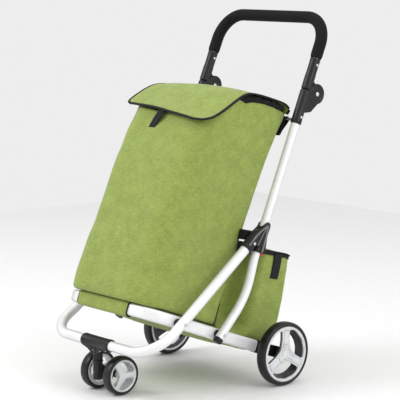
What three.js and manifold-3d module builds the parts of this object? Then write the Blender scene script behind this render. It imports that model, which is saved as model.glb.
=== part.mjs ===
// Folding four-wheel shopping trolley with a fabric bag and a rear pocket.
// Millimetres. +Z is up, the twin caster is at the front (-Y), X = 0 is the middle plane.
// Side-view points are [y, z], measured from the rear axle's plan line and the floor.
import * as THREE from 'three';
import * as BufferGeometryUtils from 'three/addons/utils/BufferGeometryUtils.js';
import Module from 'manifold-3d';

const wasm = await Module();
wasm.setup();

// ---- driving dimensions -------------------------------------------------------------------
const CLEARANCE = 0.3; // gap left between touching pieces
const FLATNESS = 1e-3; // points this close to their neighbours' face are dropped

const REAR_AXLE_Z = 90;
const REAR_WHEEL = { tyre: 90, rim: 79, rimBore: 68, hub: 19, width: 31, outerX: 260, segments: 36 };
const CASTER_AXLE = [-424, 53.6];
const CASTER_SWIVEL_Y = -464;
const CASTER_WHEEL = { tyre: 53.6, rim: 45, rimBore: 38, hub: 12, width: 30, outerX: 64, segments: 28 };
const CASTER_SPLIT_Z = 93; // face where the swivelling fork meets the fixed socket

const MAIN_X = 213; // main tubes
const MAIN_R = 12.5;
const MAIN_LEAN = THREE.MathUtils.degToRad(22.2); // rearward lean from vertical
const MAIN_FOOT = [-52, 456]; // a point on the straight axis
const MAIN_KINK = [-87.6, 369];
const MAIN_CORNER = [-117, 262];
const MAIN_END = [-219, 151];
const PIVOT_MAIN = [-205, 165]; // main tube to platform
const PIVOT_LEG = [-350, 214]; // front leg crossing the platform
const PIVOT_BRACKET = [-106, 409]; // front leg in the sliding bracket

const LEG_X = 215; // legs of the one-piece front frame
const LEG_R = 14;
const LEG_KINK = [-380, 190];
const FRONT_CROSS = [-464, 141];
const FRONT_CORNER_R = 96;

const PLATFORM_X = 185;
const PLATFORM_TUBE = { tall: 34, wide: 17, wall: 1.6 };
const PLATFORM_REAR = [-53, 108];
const PLATFORM_FRONT = [-440, 247.5];
const PLATFORM_CORNER_R = 78;
const SPACER_R = 11;

const TUBE_WALL = 1.6;
const TUBE_SIDES = 14;
const ROUND = 20; // facets of a turned or bored shape
const DISC_ROUND = 28;

const STEM_R = 14.5; // black sleeves at the folding joints
const STEM_START_Z = 730;
const STEM_SPLIT_Z = 822;
const GRIP_START_Z = 908;
const HINGE = [129, 810];
const HINGE_DISC_R = 29;
const HINGE_HALF = 15;
const HINGE_TONGUE = 5.5;
const HANDLE_TOP_Z = 1022;
const HANDLE_TUBE_R = 11;
const HANDLE_CORNER_R = 80;
const GRIP_R = 17;
const FOAM_GAP = 0.9; // between the foam and the tube inside it

const BRACKET_SLEEVE_R = 15.9; // on the main tube
const BRACKET_LEG_R = 17.6; // round the leg's end
const BRACKET_SPAN = [-24, 57]; // along the main tube, from its height at the leg pivot
const BRACKET_WEB = 12; // half thickness between the two sleeves
const BUTTON_TRAVEL = 3;

const BAG = { halfWidth: 172, frontRadius: 78, rearRadius: 30, wall: 3, rimDrop: 24 };
const BAG_FRONT_BOTTOM = [-455, 270];
const BAG_FRONT_TOP = [-242, 760];
const BAG_DEPTH = 278; // square to the front face
const BAG_LIFT = 19.5; // bag floor above the platform tube's axis
const BOARD_THICK = 6;

const POCKET = { halfWidth: 158, wall: 3, radius: 26 };
const POCKET_OUTLINE = [[-96, 385], [96, 342], [44, 92], [-166, 158]];

// ---- small vector helpers -----------------------------------------------------------------
const v3 = (x, [y, z]) => new THREE.Vector3(x, y, z);
const mainUp = [Math.sin(MAIN_LEAN), Math.cos(MAIN_LEAN)];
const mainBack = [Math.cos(MAIN_LEAN), -Math.sin(MAIN_LEAN)];
// Point on the straight main axis at a height, and a point offset from it.
const onMain = (z) => [MAIN_FOOT[0] + (z - MAIN_FOOT[1]) * Math.tan(MAIN_LEAN), z];
const offMain = (z, along, back) => {
  const [y0, z0] = onMain(z);
  return [y0 + along * mainUp[0] + back * mainBack[0], z0 + along * mainUp[1] + back * mainBack[1]];
};
const platformSlope = Math.atan2(PLATFORM_FRONT[1] - PLATFORM_REAR[1], PLATFORM_REAR[0] - PLATFORM_FRONT[0]);
const platformNormal = [Math.sin(platformSlope), Math.cos(platformSlope)];
const platformZ = (y) => PLATFORM_REAR[1] + (PLATFORM_REAR[0] - y) * Math.tan(platformSlope);
const abovePlatform = (y, lift) => [y + lift * platformNormal[0], platformZ(y) + lift * platformNormal[1]];

// ---- solids -------------------------------------------------------------------------------
// A three.js geometry as a manifold solid, and back.
function solid(geometry) {
  const bare = geometry.clone();
  bare.deleteAttribute('normal');
  bare.deleteAttribute('uv');
  const merged = BufferGeometryUtils.mergeVertices(bare, 1e-4);
  const body = new wasm.Manifold(new wasm.Mesh({
    numProp: 3,
    vertProperties: Float32Array.from(merged.attributes.position.array),
    triVerts: Uint32Array.from(merged.index.array),
  }));
  return body.simplify(FLATNESS);
}

function geometryOf(body) {
  const mesh = body.getMesh();
  const geometry = new THREE.BufferGeometry();
  geometry.setAttribute('position', new THREE.BufferAttribute(mesh.vertProperties, 3));
  geometry.setIndex(new THREE.BufferAttribute(mesh.triVerts, 1));
  geometry.computeVertexNormals();
  return geometry;
}

const union = (...bodies) => bodies.reduce((a, b) => a.add(b));

// A cylinder from one 3-D point to another.
function rod(from, to, radius, sides = ROUND, endRadius = radius) {
  const axis = new THREE.Vector3().subVectors(to, from);
  const geometry = new THREE.CylinderGeometry(endRadius, radius, axis.length(), sides);
  const upright = new THREE.Vector3(0, 1, 0);
  const turn = new THREE.Quaternion().setFromUnitVectors(upright, axis.clone().normalize());
  geometry.applyQuaternion(turn);
  geometry.translate(...new THREE.Vector3().addVectors(from, to).multiplyScalar(0.5).toArray());
  return solid(geometry);
}

// A cylinder along X at a side-view point.
const crossRod = (x0, x1, point, radius, sides = ROUND) => rod(v3(x0, point), v3(x1, point), radius, sides);

// A side-view outline given thickness from x0 to x1.
function plate(points, x0, x1, radius = 0) {
  const geometry = new THREE.ExtrudeGeometry(roundedOutline(points, radius), {
    depth: x1 - x0, bevelEnabled: false, curveSegments: 5,
  });
  // Shape X is the object's Y and shape Y its Z, so the depth runs along X.
  geometry.applyMatrix4(new THREE.Matrix4().set(0, 0, 1, x0, 1, 0, 0, 0, 0, 1, 0, 0, 0, 0, 0, 1));
  return solid(geometry);
}

// A closed outline whose corners are rounded by arcs of one radius.
function roundedOutline(points, radius) {
  const shape = new THREE.Shape();
  const corners = points.map(([a, b]) => new THREE.Vector2(a, b));
  if (THREE.ShapeUtils.isClockWise(corners)) corners.reverse();
  corners.forEach((corner, i) => {
    if (radius === 0) {
      if (i === 0) shape.moveTo(corner.x, corner.y);
      else shape.lineTo(corner.x, corner.y);
      return;
    }
    const before = corners[(i + corners.length - 1) % corners.length];
    const after = corners[(i + 1) % corners.length];
    const towardsBefore = before.clone().sub(corner).normalize();
    const towardsAfter = after.clone().sub(corner).normalize();
    const half = Math.acos(THREE.MathUtils.clamp(towardsBefore.dot(towardsAfter), -1, 1)) / 2;
    const reach = radius / Math.tan(half);
    const start = corner.clone().addScaledVector(towardsBefore, reach);
    const centre = corner.clone().addScaledVector(
      towardsBefore.clone().add(towardsAfter).normalize(), radius / Math.sin(half));
    const end = corner.clone().addScaledVector(towardsAfter, reach);
    const turnFrom = Math.atan2(start.y - centre.y, start.x - centre.x);
    const turnTo = Math.atan2(end.y - centre.y, end.x - centre.x);
    if (i === 0) shape.moveTo(start.x, start.y);
    else shape.lineTo(start.x, start.y);
    const clockwise = towardsBefore.cross(towardsAfter) > 0;
    shape.absarc(centre.x, centre.y, radius, turnFrom, turnTo, clockwise);
  });
  shape.closePath();
  return shape;
}

// ---- tube paths ---------------------------------------------------------------------------
class Arc extends THREE.Curve {
  constructor(centre, startSpoke, endSpoke) {
    super();
    Object.assign(this, { centre, startSpoke, turn: startSpoke.angleTo(endSpoke) });
    this.axis = new THREE.Vector3().crossVectors(startSpoke, endSpoke).normalize();
  }

  getPoint(t, target = new THREE.Vector3()) {
    return target.copy(this.startSpoke).applyAxisAngle(this.axis, this.turn * t).add(this.centre);
  }
}

// Straight runs joined by arcs. A plane normal makes the tube's section keep its stance in that plane.
class TubePath extends THREE.CurvePath {
  constructor(points, radii, planeNormal = null) {
    super();
    this.planeNormal = planeNormal;
    let from = points[0];
    for (let i = 1; i < points.length - 1; i += 1) {
      const back = points[i - 1].clone().sub(points[i]).normalize();
      const on = points[i + 1].clone().sub(points[i]).normalize();
      const half = back.angleTo(on) / 2;
      const reach = radii[i - 1] / Math.tan(half);
      const start = points[i].clone().addScaledVector(back, reach);
      const end = points[i].clone().addScaledVector(on, reach);
      const middle = back.add(on).normalize();
      const centre = points[i].clone().addScaledVector(middle, radii[i - 1] / Math.sin(half));
      this.add(new THREE.LineCurve3(from, start));
      this.add(new Arc(centre, start.clone().sub(centre), end.clone().sub(centre)));
      from = end;
    }
    this.add(new THREE.LineCurve3(from, points.at(-1)));
  }

  computeFrenetFrames(segments, closed) {
    if (!this.planeNormal) return super.computeFrenetFrames(segments, closed);
    const frames = { tangents: [], normals: [], binormals: [] };
    for (let i = 0; i <= segments; i += 1) {
      const tangent = this.getTangentAt(i / segments);
      frames.tangents.push(tangent);
      frames.normals.push(this.planeNormal.clone());
      frames.binormals.push(new THREE.Vector3().crossVectors(tangent, this.planeNormal));
    }
    return frames;
  }
}

function circleSection(radius, sides = TUBE_SIDES, shift = 0) {
  return Array.from({ length: sides }, (_, i) => {
    const angle = ((i + shift) / sides) * Math.PI * 2;
    return new THREE.Vector2(radius * Math.cos(angle), radius * Math.sin(angle));
  });
}

// A flat-sided oval section: `across` in the plane normal's direction, `along` in the plane.
function ovalSection(across, along, steps = 4) {
  const radius = Math.min(across, along) / 2;
  const reach = Math.max(across, along) / 2 - radius;
  const points = [];
  for (const side of [1, -1]) {
    for (let i = 0; i <= steps; i += 1) {
      const angle = (side > 0 ? -Math.PI / 2 : Math.PI / 2) + (i / steps) * Math.PI;
      points.push(new THREE.Vector2(side * reach + radius * Math.cos(angle), radius * Math.sin(angle)));
    }
  }
  return across >= along ? points : points.map((p) => new THREE.Vector2(-p.y, p.x));
}

function sweep(path, section, steps, hollow = null) {
  const shape = new THREE.Shape(section);
  if (hollow) shape.holes.push(new THREE.Path(hollow));
  return solid(new THREE.ExtrudeGeometry(shape, { steps, extrudePath: path, bevelEnabled: false }));
}

const roundTube = (path, radius, steps, wall = TUBE_WALL, sides = TUBE_SIDES) => sweep(
  path, circleSection(radius, sides), steps, wall ? circleSection(radius - wall, sides).reverse() : null);

// ---- materials ----------------------------------------------------------------------------
const finish = (colour, roughness, metalness) => () => new THREE.MeshStandardMaterial({
  color: colour, roughness, metalness, side: THREE.FrontSide,
});
const aluminium = finish('#dfe1e3', 0.35, 0.85);
const blackPlastic = finish('#303134', 0.5, 0);
const foam = finish('#26272a', 0.85, 0);
const rubber = finish('#2b2c2f', 0.75, 0);
const rimSilver = finish('#d3d5d8', 0.38, 0.2);
const steel = finish('#c4c6c9', 0.3, 1);
const redPlastic = finish('#c7202c', 0.4, 0);
const fabric = finish('#8fa63c', 0.9, 0);
const trimFabric = finish('#26282a', 0.85, 0);
const board = finish('#3a3b3d', 0.7, 0);

const trolley = new THREE.Group();

function addPart(name, body, material, parent = trolley) {
  const mesh = new THREE.Mesh(geometryOf(body), material());
  mesh.name = name;
  parent.add(mesh);
  return mesh;
}

// One part on each side: build(side) takes +1 for the right (+X) and -1 for the left.
function addPair(name, build, material) {
  for (const [side, word] of [[1, 'right'], [-1, 'left']]) {
    addPart(`${name}_${word}`, build(side), material);
  }
}

const mirrored = (body, side) => (side > 0 ? body : body.mirror([1, 0, 0]));

// ---- wheels -------------------------------------------------------------------------------
// A ring turned about X through a side-view point; profile points are [x, radius], counter-clockwise.
function turned(profile, [y, z], segments, facetDown = false) {
  const outline = profile.map(([x, radius]) => new THREE.Vector2(radius, x));
  if (outline[0].x > 0) outline.push(outline[0].clone());
  const geometry = new THREE.LatheGeometry(outline, segments, facetDown ? Math.PI / segments : 0);
  geometry.rotateZ(-Math.PI / 2);
  const ring = solid(geometry);
  const facing = ring.volume() < 0 ? solid(flipped(geometry)) : ring;
  return facing.translate([0, y, z]);
}

function flipped(geometry) {
  const copy = geometry.clone();
  const order = copy.index.array;
  for (let i = 0; i < order.length; i += 3) [order[i], order[i + 1]] = [order[i + 1], order[i]];
  return copy;
}

function tyre(wheel, centre, side) {
  const outer = wheel.tyre / Math.cos(Math.PI / wheel.segments);
  const inner = wheel.rim + CLEARANCE;
  const x1 = wheel.outerX;
  const x0 = x1 - wheel.width;
  const shoulder = (outer - inner) * 0.45;
  const profile = [
    [x0 + 2.5, inner], [x1 - 2.5, inner], [x1, inner + 2.5], [x1, outer - shoulder], [x1 - shoulder, outer],
    [x0 + shoulder, outer], [x0, outer - shoulder], [x0, inner + 2.5],
  ];
  return mirrored(turned(profile, centre, wheel.segments, true), side);
}

// Rim with three wide spokes that flare into the ring.
function rim(wheel, centre, side, axleRadius) {
  const x1 = wheel.outerX - 2.5;
  const x0 = wheel.outerX - wheel.width + 2.5;
  const ring = turned([[x0, wheel.rimBore], [x1, wheel.rimBore + 2], [x1, wheel.rim], [x0, wheel.rim]],
    centre, wheel.segments, true);
  const spokeDepth = [x1 - wheel.width * 0.42, x1 - 1.5];
  const hub = crossRod(x0 + 1, x1 - 0.5, centre, wheel.hub);
  const bore = crossRod(x0 - 5, x1 + 5, centre, axleRadius + CLEARANCE, 16);
  const spokes = [0, 1, 2].map((i) => {
    const angle = Math.PI / 2 + (i * Math.PI * 2) / 3;
    const spot = (radius, half) => [
      centre[0] + radius * Math.cos(angle) - half * Math.sin(angle),
      centre[1] + radius * Math.sin(angle) + half * Math.cos(angle),
    ];
    const reach = wheel.rimBore + 4;
    const outline = [
      spot(0, wheel.hub * 0.72), spot(reach * 0.6, wheel.hub * 0.62), spot(reach * 0.86, wheel.hub * 0.95),
      spot(reach, wheel.hub * 1.35), spot(reach, -wheel.hub * 1.35), spot(reach * 0.86, -wheel.hub * 0.95),
      spot(reach * 0.6, -wheel.hub * 0.62), spot(0, -wheel.hub * 0.72),
    ];
    return plate(outline, spokeDepth[0], spokeDepth[1]);
  });
  return mirrored(union(ring, hub, ...spokes).subtract(bore), side);
}

const REAR_AXLE_R = 6;
const CASTER_AXLE_R = 4;
const rearCentre = [0, REAR_AXLE_Z];

addPair('rear_tyre', (side) => tyre(REAR_WHEEL, rearCentre, side), rubber);
addPair('rear_rim', (side) => rim(REAR_WHEEL, rearCentre, side, REAR_AXLE_R), rimSilver);
addPair('rear_hub_cap', (side) => mirrored(turned(
  [[REAR_WHEEL.outerX - 2.6, 0], [REAR_WHEEL.outerX - 2.6, 13], [REAR_WHEEL.outerX - 0.4, 13],
    [REAR_WHEEL.outerX + 0.6, 10], [REAR_WHEEL.outerX + 0.6, 0]], rearCentre, 24), side), rimSilver);
addPair('caster_tyre', (side) => tyre(CASTER_WHEEL, CASTER_AXLE, side), rubber);
addPair('caster_rim', (side) => rim(CASTER_WHEEL, CASTER_AXLE, side, CASTER_AXLE_R), rimSilver);

const REAR_AXLE_HALF = REAR_WHEEL.outerX - 4;
addPart('rear_axle', crossRod(-REAR_AXLE_HALF, REAR_AXLE_HALF, rearCentre, REAR_AXLE_R, 16), steel);
const CASTER_AXLE_HALF = CASTER_WHEEL.outerX - 3;
addPart('caster_axle', crossRod(-CASTER_AXLE_HALF, CASTER_AXLE_HALF, CASTER_AXLE, CASTER_AXLE_R, 14), steel);

// ---- platform -----------------------------------------------------------------------------
const platformPath = (inset = 0) => new TubePath(
  [v3(PLATFORM_X - inset, PLATFORM_REAR), v3(PLATFORM_X - inset, PLATFORM_FRONT),
    v3(-PLATFORM_X + inset, PLATFORM_FRONT), v3(-PLATFORM_X + inset, PLATFORM_REAR)],
  [PLATFORM_CORNER_R, PLATFORM_CORNER_R],
  new THREE.Vector3(0, platformNormal[0], platformNormal[1]));

const platformSection = (inset) => ovalSection(
  PLATFORM_TUBE.tall - 2 * inset, PLATFORM_TUBE.wide - 2 * inset);
addPart('platform_tube', sweep(
  platformPath(), platformSection(0), 56, platformSection(PLATFORM_TUBE.wall).reverse()), aluminium);

// Moulded end of each side tube: a cap on the tube's end, and an arm that carries the axle.
const AXLE_BRACKET_X = [174, 226.5];
addPair('axle_bracket', (side) => {
  const end = PLATFORM_REAR;
  const along = [Math.cos(platformSlope), -Math.sin(platformSlope)];
  const at = (forward, up) => [
    end[0] + forward * along[0] + up * platformNormal[0],
    end[1] + forward * along[1] + up * platformNormal[1]];
  const cap = plate([at(CLEARANCE, 18), at(CLEARANCE, -18), at(34, -18), at(48, -6), at(34, 18)],
    AXLE_BRACKET_X[0], PLATFORM_X + 11, 4);
  const arm = plate([at(10, 14), at(10, -16), [-4, 74], [12, 82], [14, 96], [4, 106]],
    PLATFORM_X, AXLE_BRACKET_X[1], 5);
  const boss = crossRod(PLATFORM_X - 6, AXLE_BRACKET_X[1], rearCentre, 15);
  const bore = crossRod(
    AXLE_BRACKET_X[0] - 5, AXLE_BRACKET_X[1] + 5, rearCentre, REAR_AXLE_R + CLEARANCE, 16);
  return mirrored(union(cap, arm, boss).subtract(bore), side);
}, blackPlastic);

// Plastic spacers that keep the legs and the main tubes off the side tubes.
const sideTubeFace = PLATFORM_X + PLATFORM_TUBE.wide / 2 + CLEARANCE;
addPair('leg_spacer', (side) => crossRod(
  side * sideTubeFace, side * (LEG_X - LEG_R - CLEARANCE), PIVOT_LEG, SPACER_R, 20), blackPlastic);
addPair('main_spacer', (side) => crossRod(
  side * sideTubeFace, side * (MAIN_X - MAIN_R - CLEARANCE), PIVOT_MAIN, SPACER_R, 20), blackPlastic);

// Fabric cradle: it wraps the front cross tube and runs back under the side tubes.
const CRADLE = { halfWidth: 166, cornerR: 70, gap: 1.2, thick: 4, wrapHalf: 106, rearY: -44 };
const cradleUnder = -(PLATFORM_TUBE.tall / 2 + CRADLE.gap);
// Its plan: round at the front corners as the tube is, square at the rear.
function cradlePanel() {
  const length = (CRADLE.rearY - PLATFORM_FRONT[0]) / Math.cos(platformSlope);
  const { halfWidth, cornerR } = CRADLE;
  const shape = new THREE.Shape();
  shape.absarc(halfWidth - cornerR, cornerR, cornerR, -Math.PI / 2, 0, false);
  shape.lineTo(halfWidth, length);
  shape.lineTo(-halfWidth, length);
  shape.absarc(-halfWidth + cornerR, cornerR, cornerR, Math.PI, Math.PI * 1.5, false);
  shape.closePath();
  const geometry = new THREE.ExtrudeGeometry(shape, {
    depth: CRADLE.thick, bevelEnabled: false, curveSegments: 6,
  });
  const [y, z] = abovePlatform(PLATFORM_FRONT[0], cradleUnder - CRADLE.thick);
  const [nY, nZ] = platformNormal;
  geometry.applyMatrix4(new THREE.Matrix4().set(1, 0, 0, 0, 0, nZ, nY, y, 0, -nY, nZ, z, 0, 0, 0, 1));
  return solid(geometry);
}
const wrapOutline = (grow, top) => {
  const half = PLATFORM_TUBE.wide / 2 + CRADLE.gap + grow;
  const under = PLATFORM_TUBE.tall / 2 + CRADLE.gap + grow;
  const over = PLATFORM_TUBE.tall / 2 + top;
  return [[-half, -under], [half, -under], [half, over], [-half, over]].map(([forward, lift]) => [
    PLATFORM_FRONT[0] + forward * Math.cos(platformSlope) + lift * platformNormal[0],
    PLATFORM_FRONT[1] - forward * Math.sin(platformSlope) + lift * platformNormal[1]]);
};
const cradleWrap = plate(wrapOutline(CRADLE.thick * 0.6, 2), -CRADLE.wrapHalf, CRADLE.wrapHalf, 3)
  .subtract(plate(wrapOutline(0, 0.6), -CRADLE.wrapHalf - 5, CRADLE.wrapHalf + 5, 1));
addPart('platform_cradle', union(cradlePanel(), cradleWrap), fabric);

// ---- main frame ---------------------------------------------------------------------------
const mainTop = onMain(800);
addPair('main_tube', (side) => roundTube(new TubePath(
  [v3(side * MAIN_X, mainTop), v3(side * MAIN_X, MAIN_KINK), v3(side * MAIN_X, MAIN_CORNER),
    v3(side * MAIN_X, MAIN_END)], [260, 230]), MAIN_R, 44), aluminium);

const tubeEndWay = new THREE.Vector3().subVectors(v3(0, MAIN_END), v3(0, MAIN_CORNER)).normalize();
addPair('main_tube_cap', (side) => {
  const from = v3(side * MAIN_X, MAIN_END).addScaledVector(tubeEndWay, CLEARANCE);
  const to = from.clone().addScaledVector(tubeEndWay, 6);
  return rod(from, to, MAIN_R + 0.8, 20, MAIN_R - 2.5);
}, blackPlastic);
addPair('main_pivot_rivet', (side) => crossRod(
  side * (MAIN_X + MAIN_R + CLEARANCE), side * (MAIN_X + MAIN_R + 2.4), PIVOT_MAIN, 4.5, 16), steel);

// Lower sleeve of the folding joint: a sleeve on the tube, with two cheeks that carry the pin.
const straightRod = (side, z0, z1, radius, sides = ROUND) => rod(
  v3(side * MAIN_X, onMain(z0)), v3(side * MAIN_X, onMain(z1)), radius, sides);
const cheekOutline = [offMain(770, 0, 0), offMain(800, 22, 0), offMain(800, 22, 22), offMain(770, 0, 34)];
const HINGE_PIN_R = 5;
addPair('lower_stem', (side) => {
  const sleeve = straightRod(1, STEM_START_Z, STEM_SPLIT_Z, STEM_R);
  const disc = crossRod(MAIN_X - HINGE_HALF, MAIN_X + HINGE_HALF, HINGE, HINGE_DISC_R, DISC_ROUND);
  const web = plate(cheekOutline, MAIN_X - HINGE_HALF + 1, MAIN_X + HINGE_HALF - 1);
  const slotHalf = HINGE_TONGUE + 0.5;
  const slot = crossRod(MAIN_X - slotHalf, MAIN_X + slotHalf, HINGE, HINGE_DISC_R + 0.8, DISC_ROUND);
  const tubeBore = straightRod(1, STEM_START_Z - 20, 801, MAIN_R + CLEARANCE, TUBE_SIDES * 2);
  const pinBore = crossRod(MAIN_X - 30, MAIN_X + 30, HINGE, HINGE_PIN_R + CLEARANCE, 20);
  const body = union(sleeve, disc, web).subtract(slot).subtract(tubeBore).subtract(pinBore);
  return mirrored(body, side);
}, blackPlastic);

addPair('hinge_pin', (side) => {
  const face = MAIN_X + HINGE_HALF;
  const pin = crossRod(MAIN_X - HINGE_HALF - 1, face + 1, HINGE, HINGE_PIN_R, 20);
  const head = crossRod(face + CLEARANCE, face + 2.2, HINGE, HINGE_PIN_R + 1.8, 20);
  return mirrored(union(pin, head), side);
}, steel);

const CROSS_ROD = { z: 742, back: 8, radius: 4.5 };
addPart('bag_cross_rod', crossRod(-(MAIN_X - STEM_R - CLEARANCE), MAIN_X - STEM_R - CLEARANCE,
  offMain(CROSS_ROD.z, 0, CROSS_ROD.back), CROSS_ROD.radius, 16), steel);

// ---- handle -------------------------------------------------------------------------------
addPair('upper_stem', (side) => {
  const sleeve = straightRod(1, STEM_SPLIT_Z + 1, GRIP_START_Z, STEM_R);
  const tongue = crossRod(MAIN_X - HINGE_TONGUE, MAIN_X + HINGE_TONGUE, HINGE, HINGE_DISC_R, DISC_ROUND);
  const web = plate([offMain(838, 0, 0), offMain(858, 0, 8), HINGE, offMain(822, 0, 8)],
    MAIN_X - HINGE_TONGUE, MAIN_X + HINGE_TONGUE);
  const tubeBore = straightRod(1, 838, GRIP_START_Z + 20, HANDLE_TUBE_R + CLEARANCE, TUBE_SIDES * 2);
  const pinBore = crossRod(MAIN_X - 30, MAIN_X + 30, HINGE, HINGE_PIN_R + CLEARANCE, 20);
  const cheeks = [-1, 1].map((way) => crossRod(
    MAIN_X + way * (HINGE_TONGUE + 0.2), MAIN_X + way * 30, HINGE, HINGE_DISC_R + 0.8, DISC_ROUND));
  const body = union(sleeve, tongue, web).subtract(union(...cheeks)).subtract(tubeBore).subtract(pinBore);
  return mirrored(body, side);
}, blackPlastic);

const handlePath = (z0) => new TubePath(
  [v3(MAIN_X, onMain(z0)), v3(MAIN_X, onMain(HANDLE_TOP_Z)), v3(-MAIN_X, onMain(HANDLE_TOP_Z)),
    v3(-MAIN_X, onMain(z0))], [HANDLE_CORNER_R, HANDLE_CORNER_R]);
addPart('handle_tube', roundTube(handlePath(842), HANDLE_TUBE_R, 52, TUBE_WALL, 10), aluminium);
addPart('grip_foam', roundTube(
  handlePath(GRIP_START_Z + 0.5), GRIP_R, 52, GRIP_R - HANDLE_TUBE_R - FOAM_GAP), foam);
addPair('stem_rivet', (side) => crossRod(side * (MAIN_X + STEM_R + CLEARANCE),
  side * (MAIN_X + STEM_R + 2), onMain(891), 4, 14), steel);

// ---- sliding brackets ---------------------------------------------------------------------
// [along the main tube, behind it], from the tube's axis at BRACKET_Z.
const BRACKET_Z = 405;
const bracketPoint = ([along, back]) => offMain(BRACKET_Z, along, back);
const BRACKET_WEB_OUTLINE = [[50, -2], [-20, -40], [-20, -2]];
const legDirection = [PIVOT_LEG[0] - PIVOT_BRACKET[0], PIVOT_LEG[1] - PIVOT_BRACKET[1]];
const legLength = Math.hypot(...legDirection);
const legUnit = legDirection.map((c) => c / legLength);
const BUTTON = { along: -24, back: 17.8, half: 3.2, halfX: 6, height: 14, proud: 5, wall: 2.4 };
const LEG_SWEEP = 11; // degrees that the leg turns in the bracket

const alongLeg = (distance, turn = 0) => {
  const angle = THREE.MathUtils.degToRad(turn);
  return [
    PIVOT_BRACKET[0] + distance * (legUnit[0] * Math.cos(angle) - legUnit[1] * Math.sin(angle)),
    PIVOT_BRACKET[1] + distance * (legUnit[0] * Math.sin(angle) + legUnit[1] * Math.cos(angle)),
  ];
};
const onTube = (along) => v3(MAIN_X, offMain(BRACKET_Z, along, 0));

addPair('bracket', (side) => {
  const sleeve = rod(onTube(BRACKET_SPAN[0]), onTube(BRACKET_SPAN[1]), BRACKET_SLEEVE_R, TUBE_SIDES * 2);
  const legSleeve = rod(v3(LEG_X, alongLeg(24)), v3(LEG_X, alongLeg(-26)), BRACKET_LEG_R, ROUND);
  const web = plate(BRACKET_WEB_OUTLINE.map(bracketPoint), MAIN_X - BRACKET_WEB, MAIN_X + BRACKET_WEB);
  const buttonHouse = buttonBody(BUTTON.wall, BRACKET_SPAN[0], BRACKET_SPAN[0] + BUTTON.height + 12);
  const tubeBore = rod(onTube(-90), onTube(90), MAIN_R + 0.8, TUBE_SIDES * 2);
  // Room for the leg's end to turn from its working stance to its folded one.
  const wells = [0, 0.5, 1].map((share) => rod(
    v3(LEG_X, PIVOT_BRACKET), v3(LEG_X, alongLeg(60, LEG_SWEEP * share)), LEG_R + 0.9));
  const eye = crossRod(LEG_X - LEG_R - 0.9, LEG_X + LEG_R + 0.9, PIVOT_BRACKET, LEG_R + 1.1);
  const wellTop = BRACKET_SPAN[0] + BUTTON.height + BUTTON_TRAVEL + 1;
  const buttonWell = buttonBody(0.5, BRACKET_SPAN[0] - 20, wellTop);
  const body = union(sleeve, legSleeve, web, buttonHouse)
    .subtract(tubeBore).subtract(union(eye, ...wells)).subtract(buttonWell);
  return mirrored(body, side);
}, blackPlastic);

// A block behind the tube, between two places along it.
function buttonBody(grow, from, to) {
  const { back, half, halfX } = BUTTON;
  const corners = [[from, back - half - grow], [from, back + half + grow], [to, back + half + grow],
    [to, back - half - grow]];
  return plate(corners.map(bracketPoint), MAIN_X - halfX - grow, MAIN_X + halfX + grow);
}
addPair('release_button', (side) => mirrored(
  buttonBody(0, BRACKET_SPAN[0] - BUTTON.proud, BRACKET_SPAN[0] + BUTTON.height), side), redPlastic);
addPair('leg_pivot_rivet', (side) => crossRod(side * (LEG_X + BRACKET_LEG_R + CLEARANCE),
  side * (LEG_X + BRACKET_LEG_R + 2), PIVOT_BRACKET, 4.5, 16), steel);

// ---- front frame and caster ---------------------------------------------------------------
const legTop = [PIVOT_BRACKET[0] - legUnit[0] * 4, PIVOT_BRACKET[1] - legUnit[1] * 4];
addPart('front_frame_tube', roundTube(new TubePath(
  [v3(LEG_X, legTop), v3(LEG_X, LEG_KINK), v3(LEG_X, FRONT_CROSS), v3(-LEG_X, FRONT_CROSS),
    v3(-LEG_X, LEG_KINK), v3(-LEG_X, legTop)], [140, FRONT_CORNER_R, FRONT_CORNER_R, 140]),
LEG_R, 92), aluminium);
addPair('platform_rivet', (side) => crossRod(side * (LEG_X + LEG_R + CLEARANCE),
  side * (LEG_X + LEG_R + 2), PIVOT_LEG, 4.5, 16), steel);

const CLAMP_HALF = 70;
const SOCKET_R = 15;
const upright = (z0, z1, radius, sides = ROUND) => rod(
  new THREE.Vector3(0, CASTER_SWIVEL_Y, z0), new THREE.Vector3(0, CASTER_SWIVEL_Y, z1), radius, sides);
const SWIVEL_PIN_R = 5.5;
addPart('caster_clamp', union(
  crossRod(-CLAMP_HALF, CLAMP_HALF, FRONT_CROSS, LEG_R + 4.5),
  plate([[-484, 136], [-444, 136], [-450, 118], [-478, 118]], -34, 34, 3),
  upright(CASTER_SPLIT_Z + CLEARANCE, 134, SOCKET_R),
).subtract(crossRod(-CLAMP_HALF - 5, CLAMP_HALF + 5, FRONT_CROSS, LEG_R + CLEARANCE, TUBE_SIDES * 2))
  .subtract(upright(CASTER_SPLIT_Z - 5, 121, SWIVEL_PIN_R + CLEARANCE, 18)), blackPlastic);

addPart('caster_fork', union(
  upright(CASTER_SPLIT_Z - 14, CASTER_SPLIT_Z - CLEARANCE, SOCKET_R + 1),
  upright(CASTER_SPLIT_Z - 10, 120, SWIVEL_PIN_R, 18),
  plate([[-479, 84], [-479, 46], [-470, 39], [-440, 39], [-424, 40], [-411, 52], [-413, 62], [-440, 84]],
    -13, 13, 3),
  crossRod(-(CASTER_WHEEL.outerX - CASTER_WHEEL.width - 1), CASTER_WHEEL.outerX - CASTER_WHEEL.width - 1,
    CASTER_AXLE, 9, 20),
).subtract(crossRod(-60, 60, CASTER_AXLE, CASTER_AXLE_R + CLEARANCE, 16)), blackPlastic);

// ---- bag ----------------------------------------------------------------------------------
const bagLean = Math.atan2(BAG_FRONT_TOP[0] - BAG_FRONT_BOTTOM[0], BAG_FRONT_TOP[1] - BAG_FRONT_BOTTOM[1]);

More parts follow.
